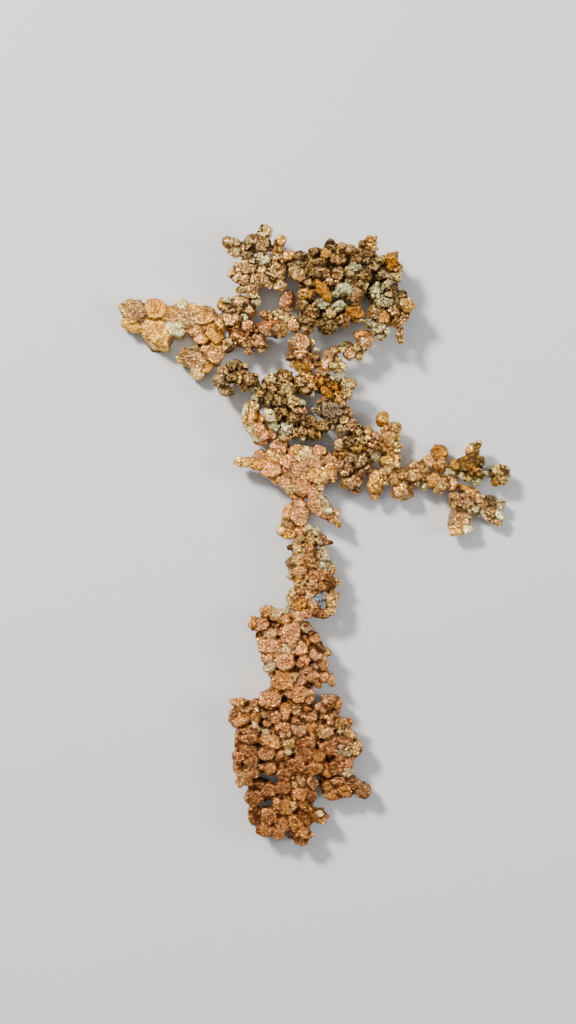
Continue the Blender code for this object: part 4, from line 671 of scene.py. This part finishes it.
def sink_faces(form, least_area):
    """Sinks the broad faces inside a raised rim, as on a hopper crystal."""
    bpy.ops.mesh.select_mode(type="FACE")
    bpy.ops.mesh.select_all(action="DESELECT")
    bpy.ops.object.mode_set(mode="OBJECT")
    for face in form.data.polygons:
        face.select = face.area > least_area
    bpy.ops.object.mode_set(mode="EDIT")
    bpy.ops.mesh.inset(thickness=RIM_WIDTH, depth=-FACE_DEPTH, use_individual=True)


def unit_form(name, seed, add, dents, bevel=0, cut=0, sunk_from=0, **sizes):
    """A dented primitive. Its corners can be cut, its edges bevelled, its broad faces sunk."""
    deselect_all()
    add(**sizes)
    form = bpy.context.object
    bpy.ops.object.mode_set(mode="EDIT")
    if cut:
        bpy.ops.mesh.bevel(offset=cut, segments=1, affect="VERTICES")
        bpy.ops.mesh.select_all(action="SELECT")
        bpy.ops.mesh.remove_doubles(threshold=WELD)
    bpy.ops.transform.vertex_random(offset=dents, seed=seed)
    if bevel:
        bpy.ops.mesh.bevel(offset=bevel, segments=SOFTENED, affect="EDGES")
    if sunk_from:
        sink_faces(form, sunk_from)
    bpy.ops.object.mode_set(mode="OBJECT")
    form.name = f"{name}_{seed}"
    form.hide_render = True
    return form


def tablet(seed):
    """A flat crystal with an uneven outline of 6 to 8 sides."""
    return unit_form("tablet", seed, bpy.ops.mesh.primitive_cylinder_add, dents=0.28, bevel=0.12,
                     vertices=6 + seed % 3, radius=1, depth=1.6)


def block(seed):
    """A cube with broad bevels and sunk faces."""
    return unit_form("block", seed, bpy.ops.mesh.primitive_cube_add, dents=0.18, bevel=0.36,
                     sunk_from=0.7, size=2)


def facets(seed):
    """A cuboctahedron with narrow bevels and sunk faces."""
    return unit_form("facets", seed, bpy.ops.mesh.primitive_cube_add, dents=0.12, bevel=0.14,
                     cut=1.0, sunk_from=0.5, size=2)


def nugget(seed):
    """A round, slightly dented crystal."""
    return unit_form("nugget", seed, bpy.ops.mesh.primitive_ico_sphere_add, dents=0.14,
                     subdivisions=2, radius=1)


def bead(seed):
    """A small grain with few faces."""
    return unit_form("bead", seed, bpy.ops.mesh.primitive_ico_sphere_add, dents=0.18,
                     subdivisions=1, radius=1)


@dataclass
class Grain:
    """A crystal, or a lobe of one: where it is, how large, how it lies and how it is tarnished."""

    centre: Vector
    half: Vector
    turn: Matrix
    tint: Vector
    metal: float
    dirt: float

    def point(self, across, along, up):
        """A place in the grain, from -1 to 1 along each of its axes."""
        return self.centre + self.turn @ (Vector((across, along, up)) * self.half)

    def round_point(self, angle, reach, up):
        return self.point(reach * math.cos(angle), reach * math.sin(angle), up)

    def reach(self, direction):
        """How far the grain's outline lies from its centre, in a direction across it."""
        across = self.turn.transposed() @ direction.normalized().to_3d()
        return 1 / math.hypot(across.x / self.half.x, across.y / self.half.y)

    def lobe(self, place, size, rng):
        """A smaller grain at a place in this one, with its own shade of the same tarnish."""
        half = Vector([size * rng.uniform(*GRAIN_SIDES) for _ in range(3)])
        tint = self.tint * rng.uniform(*GRAIN_SHADES)
        return Grain(place, half, self.turn, tint, self.metal, rng.random() * self.dirt)


def is_crust(tarnish):
    return min(tarnish[0]) > PALEST


def crystal_of(row, middle, thickness, habit, body, rng):
    x, y, length, width, tarnish, *turn = row
    colour, metal, shared = tarnish
    turn = math.radians(turn[0]) if turn else 0
    half = Vector((length, width, width * thickness)) * habit.fullness / 2
    level = habit.level if thickness == NUGGET else 0
    steady = 1 - level / 2
    lean = [rng.uniform(-TILT * steady, TILT * steady) for _ in range(2)]
    lie = Euler((*lean, turn)).to_matrix()
    lift = rng.uniform(-HEIGHT_SPREAD * steady, HEIGHT_SPREAD * steady)
    centre = Vector((x, y, middle + level * (LEVEL_TOP - half.z) + lift)) - CENTRE
    foot = min(max((FOOT_TOP - y) / FOOT_LENGTH, 0), 1)
    crusted = is_crust(tarnish)
    shared = min(shared + habit.shared + (0 if crusted else foot * FOOT_SHARED), 1)
    # Towards the foot the copper is darkened and browned: a painted shadow.
    body = Vector(body).lerp(Vector(FOOT_SHADOW), foot)
    tint = Vector(colour).lerp(body, shared) * rng.uniform(*SHADES)
    dirt = CRUST_DIRT if crusted else habit.dirt * rng.random()
    if thickness == SPECK:
        dirt = SPECK_DIRT
    return Grain(centre, half, lie, tint, metal, dirt)


def grow_crust(crystal, rng):
    """The bits that a pale crust is made of."""
    width = min(crystal.half[:2])
    bits = []
    for _ in range(CRUST_BITS):
        spot = crystal.point(
            rng.uniform(*CRUST_REACH), rng.uniform(*CRUST_REACH), rng.choice(CRUST_REACH))
        bit = crystal.lobe(spot, width * rng.uniform(*CRUST_SIZE), rng)
        bit.tint *= rng.choice(CRUST_SHADES)
        bits.append(bit)
    return bits


def grow_lobes(crystal, habit, rng):
    """The lobes around a crystal and the knobs on its faces."""
    width = min(crystal.half[:2])
    grains = []
    for _ in range(round(habit.lobes * rng.uniform(*LOBE_COUNT))):
        spot = crystal.round_point(
            rng.uniform(0, math.tau), rng.uniform(*LOBE_REACH), rng.uniform(*LOBE_HEIGHT))
        size = min(LOBE_MOST, width * rng.uniform(*LOBE_SIZE))
        grains.append(crystal.lobe(spot, size, rng))
    for _ in range(round(habit.knobs * rng.uniform(*KNOB_COUNT))):
        spot = crystal.round_point(
            rng.uniform(0, math.tau), KNOB_REACH * math.sqrt(rng.random()),
            rng.choice(KNOB_HEIGHTS))
        size = min(KNOB_MOST, width * rng.uniform(*KNOB_SIZE))
        grains.append(crystal.lobe(spot, size, rng))
    return grains


def grow_webs(crystals, depth):
    """The copper that joins neighbouring crystals, a little below their tops."""
    webs = []
    for first, second in itertools.combinations(crystals, 2):
        apart = (second.centre - first.centre).to_2d()
        reach = [first.reach(apart), second.reach(apart)]
        gap = apart.length - sum(reach)
        if gap > WEB_GAP or gap < -min(reach):
            continue
        smaller = min(first, second, key=lambda grain: min(grain.half[:2]))
        half = Vector((max(gap, 0) / 2 + WEB_GRIP, min(smaller.half[:2]) * WEB_WIDTH,
                       min(first.half.z, second.half.z) * depth))
        turn = Euler((0, 0, math.atan2(apart.y, apart.x))).to_matrix()
        centre = first.centre.lerp(second.centre, (reach[0] + gap / 2) / apart.length)
        webs.append(Grain(centre, half, turn, smaller.tint, smaller.metal, smaller.dirt))
    return webs


def numbers(items, key, width, kind=np.float32):
    """One property of a mesh's vertices or edges, a row for each."""
    values = np.empty(len(items) * width, kind)
    items.foreach_get(key, values)
    return values.reshape(-1, width)


def place(form, spin, grain):
    """A copy of a form, spun, fitted to a grain's half sizes, turned and set in place."""
    mesh = form.data.copy()
    mesh.transform(spin.to_4x4())
    corners = numbers(mesh.vertices, "co", 3)
    low, high = corners.min(0), corners.max(0)
    fit = Matrix.Diagonal([h / max((b - a) / 2, TINY) for h, a, b in zip(grain.half, low, high)])
    middle = Vector([(a + b) / 2 for a, b in zip(low, high)])
    seat = Matrix.Translation(grain.centre) @ (grain.turn @ fit).to_4x4()
    mesh.transform(seat @ Matrix.Translation(-middle))
    copy = bpy.data.objects.new(form.name, mesh)
    bpy.context.scene.collection.objects.link(copy)
    return copy


def any_spin(rng):
    return Euler([rng.uniform(0, math.tau) for _ in range(3)]).to_matrix()


def flat_spin(rng):
    return Euler((0, 0, rng.uniform(0, math.tau))).to_matrix()


def shape_crystal(crystal, thickness, habit, rng):
    if thickness == BLOCK:
        return place(rng.choice(BLOCKS), Matrix.Identity(3), crystal)
    if rng.random() < habit.tabular:
        return place(rng.choice(TABLETS), flat_spin(rng), crystal)
    return place(rng.choice(CRYSTALS), any_spin(rng), crystal)


def shape_grain(grain, rng):
    return place(rng.choice(GRAINS), any_spin(rng), grain)


def join(pieces, name):
    deselect_all()
    for piece in pieces:
        piece.select_set(True)
    bpy.context.view_layer.objects.active = pieces[0]
    bpy.ops.object.join()
    thing = bpy.context.object
    thing.name = name
    thing.data.name = name
    return thing


def grow_skin(thing, cell):
    """Grows the crystals together into one skin."""
    skin = thing.modifiers.new("skin", "REMESH")
    skin.mode = "VOXEL"
    skin.voxel_size = cell
    skin.use_smooth_shade = True
    bpy.ops.object.modifier_apply(modifier=skin.name)


def drop_crumbs(thing):
    """Removes what the skin left loose, and keeps the one body."""
    name = thing.name
    bpy.ops.object.mode_set(mode="EDIT")
    bpy.ops.mesh.separate(type="LOOSE")
    bpy.ops.object.mode_set(mode="OBJECT")
    parts = sorted(bpy.context.selected_objects, key=lambda part: len(part.data.vertices))
    for crumb in parts[:-1]:
        bpy.data.objects.remove(crumb)
    body = parts[-1]
    body.name = name
    bpy.context.view_layer.objects.active = body
    return body


def displace(thing, texture, strength, mid_level):
    """Raises and sinks the skin by a texture, in millimetres."""
    relief = thing.modifiers.new(texture.name, "DISPLACE")
    relief.texture = texture
    relief.texture_coords = "LOCAL"
    relief.strength = strength
    relief.mid_level = mid_level
    bpy.ops.object.modifier_apply(modifier=relief.name)


def roughen(thing, habit):
    lumps = bpy.data.textures.new(thing.name + "_lumps", "VORONOI")
    lumps.distance_metric = "DISTANCE_SQUARED"
    lumps.noise_scale = habit.lump_size
    displace(thing, lumps, -habit.lumps * 2, LUMP_LEVEL)
    grain = bpy.data.textures.new(thing.name + "_grain", "CLOUDS")
    grain.noise_scale = habit.grain_size
    grain.noise_depth = GRAIN_OCTAVES
    displace(thing, grain, habit.grain * 2, GRAIN_LEVEL)


class Skin:
    """The points, normals and edges of a branch's skin, with the sums that its finish needs."""

    def __init__(self, mesh):
        self.mesh = mesh
        self.points = numbers(mesh.vertices, "co", 3)
        self.normals = numbers(mesh.vertices, "normal", 3)
        ends = numbers(mesh.edges, "vertices", 2, np.int32)
        self.first = np.concatenate([ends[:, 0], ends[:, 1]])
        self.second = np.concatenate([ends[:, 1], ends[:, 0]])
        self.neighbours = np.maximum(np.bincount(self.first, minlength=len(self.points)), 1)

    def blur(self, values, steps):
        """Each value drawn halfway to the mean of its neighbours' values, several times."""
        values = np.array(values, np.float64)
        flat = values.reshape(len(self.points), -1)
        for _ in range(steps):
            for column in range(flat.shape[1]):
                sums = np.bincount(self.first, flat[self.second, column], len(flat))
                flat[:, column] = (flat[:, column] + sums / self.neighbours) / 2
        return flat.reshape(values.shape)

    def sunk(self, steps, full):
        """How far each point lies below its blurred surroundings, as a share of a height."""
        return ((self.blur(self.points, steps) - self.points) * self.normals).sum(1) / full

    def rippled(self, rng):
        """The points shifted by a sum of short waves."""
        moved = self.points.copy()
        for _ in range(RIPPLES):
            wave = np.array([rng.gauss(0, RIPPLE_PITCH) for _ in range(3)])
            shift = np.array([rng.gauss(0, RIPPLE_HEIGHT) for _ in range(3)])
            moved += np.sin(self.points @ wave + rng.uniform(0, math.tau))[:, None] * shift
        return moved

    def owners(self, grains, points):
        """The grain that each point belongs to, the next grain and how far off that one is."""
        nearest = np.full(len(points), FAR)
        second = np.full(len(points), FAR)
        owner = np.zeros(len(points), np.int32)
        rival = np.zeros(len(points), np.int32)
        for index, grain in enumerate(grains):
            half = np.array(grain.half)
            centre = np.array(grain.centre)
            near = np.flatnonzero((np.abs(points - centre) < half.max() + NEAR).all(1))
            local = (points[near] - centre) @ np.array(grain.turn)
            share = np.maximum(np.sqrt(((local / half) ** 2).sum(1)), LEAST_SHARE)
            far = np.sqrt((local ** 2).sum(1)) * (1 - 1 / share)
            closer = far < nearest[near]
            next_best = np.where(far < second[near], index, rival[near])
            rival[near] = np.where(closer, owner[near], next_best)
            second[near] = np.where(closer, nearest[near], np.minimum(second[near], far))
            here = near[closer]
            nearest[here] = far[closer]
            owner[here] = index
        return owner, rival, (second - nearest) / 2

    def sink(self, depths):
        """Moves each point inwards, in millimetres."""
        self.points -= self.normals * depths[:, None]
        self.mesh.vertices.foreach_set("co", self.points.astype(np.float32).ravel())
        self.mesh.update()

    def store(self, name, values):
        kind, key = ("FLOAT_COLOR", "color") if values.ndim == 2 else ("FLOAT", "value")
        layer = self.mesh.attributes.new(name, kind, "POINT")
        layer.data.foreach_set(key, values.astype(np.float32).ravel())


def share_of(values):
    """The values, cut off below 0 and above 1."""
    return np.clip(values, 0, 1)


def part_grains(mesh, grains, families, depth, rng):
    """Sinks the seams between grains and writes which tarnish each point of the skin has."""
    skin = Skin(mesh)
    owner, rival, apart = skin.owners(grains, skin.rippled(rng))
    between = np.where(families[owner] == families[rival], WITHIN, 1)
    seam = share_of(1 - apart / SEAM_WIDTH) * between
    skin.sink(skin.blur(seam, 1) * depth)
    # How dark the painted shade in each seam is.
    skin.store("seam", skin.blur(seam * min(depth / FULL_SEAM, 1), 1))
    tints = np.array([[*grain.tint, grain.metal, grain.dirt] for grain in grains])
    tint = skin.blur(tints[owner], 1)
    skin.store("tint", np.column_stack([tint[:, :3], np.ones(len(owner))]))
    skin.store("metal", tint[:, 3])
    skin.store("dirt", tint[:, 4])
    # The lip beside each seam, later painted pale: partly rubbed copper, partly highlight.
    lip = share_of((apart - SEAM_WIDTH) / LIP_RISE) * share_of((LIP_END - apart) / LIP_FALL)
    skin.store("rim", skin.blur(lip * between, 1))
    skin.store("core", skin.blur(share_of((apart - CORE_FROM) / CORE_OVER), 2))


def find_hollows_and_edges(mesh):
    """Writes where the skin is sunk, which gets painted shade, and where its edges stand out, which get
    painted highlight and rubbed copper.
    """
    skin = Skin(mesh)
    sunk = np.maximum(skin.sunk(*BROAD_HOLLOW), skin.sunk(*NARROW_HOLLOW))
    skin.store("hollow", share_of(sunk))
    mean = skin.blur(skin.normals, STEEP_STEPS)
    steep = 1 - np.abs(mean[:, 2]) / np.linalg.norm(mean, axis=1)
    proud = share_of(PROUD_MARGIN - skin.sunk(*PROUD))
    flank = share_of((steep - STEEP_FROM) / STEEP_OVER) * proud
    skin.store("edge", np.maximum(share_of(-skin.sunk(*SHARP_EDGE)), flank * FLANK_HIGHLIGHT))


def settle(mesh):
    """Cuts off what lies below the table, and turns millimetres into metres."""
    points = numbers(mesh.vertices, "co", 3)
    points[:, 2] = np.maximum(points[:, 2], 0)
    mesh.vertices.foreach_set("co", (points * MM).ravel())
    mesh.update()


class Term:
    """A shader socket that can be used in sums."""

    def __init__(self, sheet, socket):
        self.sheet = sheet
        self.socket = socket

    def _math(self, operation, *terms):
        values = dict(enumerate(terms))
        return self.sheet.add("Math", {"operation": operation}, values)

    def __add__(self, other):
        return self._math("ADD", self, other)

    def __radd__(self, other):
        return self._math("ADD", other, self)

    def __sub__(self, other):
        return self._math("SUBTRACT", self, other)

    def __rsub__(self, other):
        return self._math("SUBTRACT", other, self)

    def __mul__(self, other):
        return self._math("MULTIPLY", self, other)

    def __rmul__(self, other):
        return self._math("MULTIPLY", other, self)

    def between(self, low, high):
        """0 at low, 1 at high and beyond, and straight in between."""
        return self.sheet.add("MapRange", None, {0: self, 1: low, 2: high})


class Sheet:
    """The nodes of one material."""

    def __init__(self, name):
        self.material = bpy.data.materials.new(name)
        self.material.use_nodes = True
        self.tree = self.material.node_tree
        self.shader = self.tree.nodes["Principled BSDF"]

    def add(self, kind, settings=None, inputs=None, output=0):
        """A new node with its settings and socket values or links, as one of its outputs."""
        node = self.tree.nodes.new("ShaderNode" + kind)
        for key, value in (settings or {}).items():
            setattr(node, key, value)
        for key, value in (inputs or {}).items():
            self.feed(node.inputs[key], value)
        return Term(self, node.outputs[output])

    def feed(self, socket, value):
        if isinstance(value, Term):
            self.tree.links.new(value.socket, socket)
        else:
            socket.default_value = value

    def shade(self, socket, value):
        self.feed(self.shader.inputs[socket], value)

    def attribute(self, name, output="Fac"):
        return self.add("Attribute", {"attribute_name": name}, output=output)

    def mix(self, first, second, share, blend="MIX"):
        """A colour between two colours. A plain colour is given as three numbers."""
        first, second = [c if isinstance(c, Term) else (*c, 1) for c in (first, second)]
        settings = {"data_type": "RGBA", "blend_type": blend, "clamp_factor": True,
                    "clamp_result": True}
        values = {MIX_SHARE: share, MIX_FIRST: first, MIX_SECOND: second}
        return self.add("Mix", settings, values, MIX_RESULT)

    def noise(self, place, scale, octaves, roughness):
        values = {"Vector": place, "Scale": scale, "Detail": octaves, "Roughness": roughness}
        return self.add("TexNoise", None, values)

    def cells(self, place, scale):
        """Cells that each have a colour of their own."""
        return self.add("TexVoronoi", None, {"Vector": place, "Scale": scale}, output="Color")


def copper(slot, finish):
    """Native copper: grainy, with painted shade in its seams and hollows, painted glints on its specks, and
    pale edges that are partly rubbed copper and partly painted highlight.
    """
    sheet = Sheet(slot)
    spot = sheet.add("TexCoord", output="Object")
    place = sheet.add("VectorMath", {"operation": "SCALE"}, {0: spot, "Scale": 1 / MM})
    tint = sheet.attribute("tint", "Color")
    hollow = sheet.attribute("hollow")
    edge = sheet.attribute("edge")
    metal = sheet.attribute("metal")
    dirt = sheet.attribute("dirt")
    seam = sheet.attribute("seam")
    rim = sheet.attribute("rim")
    core = sheet.attribute("core")

    broad = sheet.noise(place, *BROAD)
    fine = sheet.noise(place, *FINE)
    speckle = sheet.noise(place, *SPECKLE)
    # Painted sparkles: cells that are lit up as glints.
    sparkle = sheet.cells(place, SPARKLE_SCALE).between(*SPARKLES)

    colour = sheet.mix(tint, BROWN[0], broad.between(*BROWN_PATCHES) * finish.patches)
    colour = sheet.mix(colour, AMBER[0], broad.between(*AMBER_PATCHES) * finish.patches)
    colour = sheet.mix(colour, MAUVE[0], core * fine.between(*CORES) * CORE_STRENGTH)
    polish_and_highlight = sheet.mix(sheet.mix(colour, colour, 1.0, "ADD"), finish.glint, GLINT_SHARE)

    heart = (1 - rim * LIP_CLEAN) * finish.pits
    pit = (fine - dirt * DIRTY_PITS).between(*PITS) * heart
    powder = (1 - metal) * speckle.between(*POWDER) * POWDER_STRENGTH
    stipple = speckle.between(*STIPPLES) * heart * STIPPLE_STRENGTH
    for stain in (pit, powder, stipple):
        colour = sheet.mix(colour, finish.pits_and_shade, stain)

    # Painted glints: sparse specks and sparkles take the highlight colour.
    painted_glints = speckle.between(*GLINT_SPECKS) + sparkle
    colour = sheet.mix(colour, polish_and_highlight, painted_glints * metal * finish.shine)
    # Painted shade: seams and hollows take the dark colour.
    ragged = broad - 0.5
    sunk = (hollow + ragged * RAGGED_HOLLOWS).between(*HOLLOWS)
    crack_shade = sheet.add("Math", {"operation": "MAXIMUM"}, {0: seam.between(*SEAMS), 1: sunk})
    colour = sheet.mix(colour, finish.pits_and_shade, crack_shade)
    # Edges, lips and flanks turn pale: partly rubbed copper, partly painted highlight.
    frayed = (fine - 0.5) * RAGGED_EDGES
    wear_and_highlight = (edge + rim * LIP_WEAR_AND_HIGHLIGHT + frayed).between(*WEAR_AND_HIGHLIGHT) * (1 - crack_shade)
    colour = sheet.mix(colour, polish_and_highlight, wear_and_highlight * metal * finish.shine)

    sheet.shade("Base Color", colour)
    sheet.shade("Specular IOR Level", SPECULAR)
    sheet.shade("Metallic", metal * (1 - pit * PIT_DULL) * (1 - crack_shade * CRACK_DULL))
    sheet.shade("Roughness", ROUGHNESS - wear_and_highlight * WORN_POLISH - painted_glints * BRIGHT_POLISH + pit * PIT_ROUGH)
    height = fine * FINE_HEIGHT + speckle * SPECKLE_HEIGHT
    bump = {"Strength": 1.0, "Distance": BUMP_HEIGHT, "Height": height}
    sheet.shade("Normal", sheet.add("Bump", None, bump))
    return sheet.material


def add_table():
    deselect_all()
    bpy.ops.mesh.primitive_plane_add(size=TABLE_SIZE, location=(0, 0, TABLE_TOP))
    floor = bpy.context.object
    floor.name = "table"
    sheet = Sheet("pale_table")
    sheet.shade("Base Color", TABLE_COLOUR)
    sheet.shade("Roughness", TABLE_ROUGHNESS)
    floor.data.materials.append(sheet.material)


def add_softbox(name, place, size, power, colour):
    """A square lamp that faces the cluster."""
    lamp = bpy.data.lights.new(name, "AREA")
    lamp.size = size
    lamp.energy = power
    lamp.color = colour
    holder = bpy.data.objects.new(name, lamp)
    holder.location = place
    holder.rotation_euler = (-Vector(place)).to_track_quat("-Z", "Y").to_euler()
    bpy.context.scene.collection.objects.link(holder)


def add_light():
    world = bpy.data.worlds.new("studio")
    world.use_nodes = True
    backdrop = world.node_tree.nodes["Background"]
    backdrop.inputs["Color"].default_value = SKY
    backdrop.inputs["Strength"].default_value = SKY_STRENGTH
    bpy.context.scene.world = world
    for softbox in SOFTBOXES:
        add_softbox(*softbox)


def add_camera():
    """Straight above the cluster, with its crown to the top."""
    lens = bpy.data.cameras.new("camera")
    lens.sensor_fit = "VERTICAL"
    lens.sensor_height = SENSOR
    lens.lens = LENS
    lens.clip_start = CLIP_START
    camera = bpy.data.objects.new("camera", lens)
    camera.location = CAMERA_PLACE
    bpy.context.scene.collection.objects.link(camera)
    bpy.context.scene.camera = camera


def grow_branch(name, layers, habit, slot, rng):
    grains = []
    families = []
    pieces = []
    crystals = []
    for middle, thickness, rows in layers:
        for row in rows:
            crystal = crystal_of(row, middle, thickness, habit, FINISHES[slot].body, rng)
            lobes = []
            if is_crust(row[TARNISH]) and thickness not in (BLOCK, SPECK):
                lobes += grow_crust(crystal, rng)
            if thickness != BLOCK:
                lobes += grow_lobes(crystal, habit, rng)
            pieces.append(shape_crystal(crystal, thickness, habit, rng))
            pieces += [shape_grain(lobe, rng) for lobe in lobes]
            grains += [crystal, *lobes]
            families += [len(pieces)] * (1 + len(lobes))
            if thickness == NUGGET:
                crystals.append(crystal)
    if habit.webs:
        pieces += [shape_grain(web, rng) for web in grow_webs(crystals, habit.webs)]
    branch = join(pieces, name + "_crystals")
    grow_skin(branch, habit.cell)
    branch = drop_crumbs(branch)
    part_grains(branch.data, grains, np.array(families), habit.seam, rng)
    roughen(branch, habit)
    find_hollows_and_edges(branch.data)
    settle(branch.data)
    branch.data.materials.clear()
    branch.data.materials.append(MATERIALS[slot])
    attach(branch, "root")
    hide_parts(name)


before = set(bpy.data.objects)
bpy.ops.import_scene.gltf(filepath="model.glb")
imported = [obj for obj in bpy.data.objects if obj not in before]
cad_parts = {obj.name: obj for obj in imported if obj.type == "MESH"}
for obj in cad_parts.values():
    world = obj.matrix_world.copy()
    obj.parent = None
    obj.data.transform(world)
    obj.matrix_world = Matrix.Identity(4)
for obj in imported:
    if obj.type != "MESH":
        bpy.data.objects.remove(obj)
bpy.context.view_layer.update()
add_camera()
add_light()
add_table()
TABLETS = [tablet(seed) for seed in range(6)]
BLOCKS = [block(seed) for seed in (1, 2)]
CRYSTALS = BLOCKS + [facets(3), facets(4), nugget(5), nugget(6)]
GRAINS = [bead(seed) for seed in range(4)]
MATERIALS = {slot: copper(slot, finish) for slot, finish in FINISHES.items()}
for seed, (name, layers, habit, slot) in enumerate(BRANCHES, 1):
    grow_branch(name, layers, habit, slot, random.Random(seed))
for form in TABLETS + CRYSTALS + GRAINS:
    bpy.data.objects.remove(form)
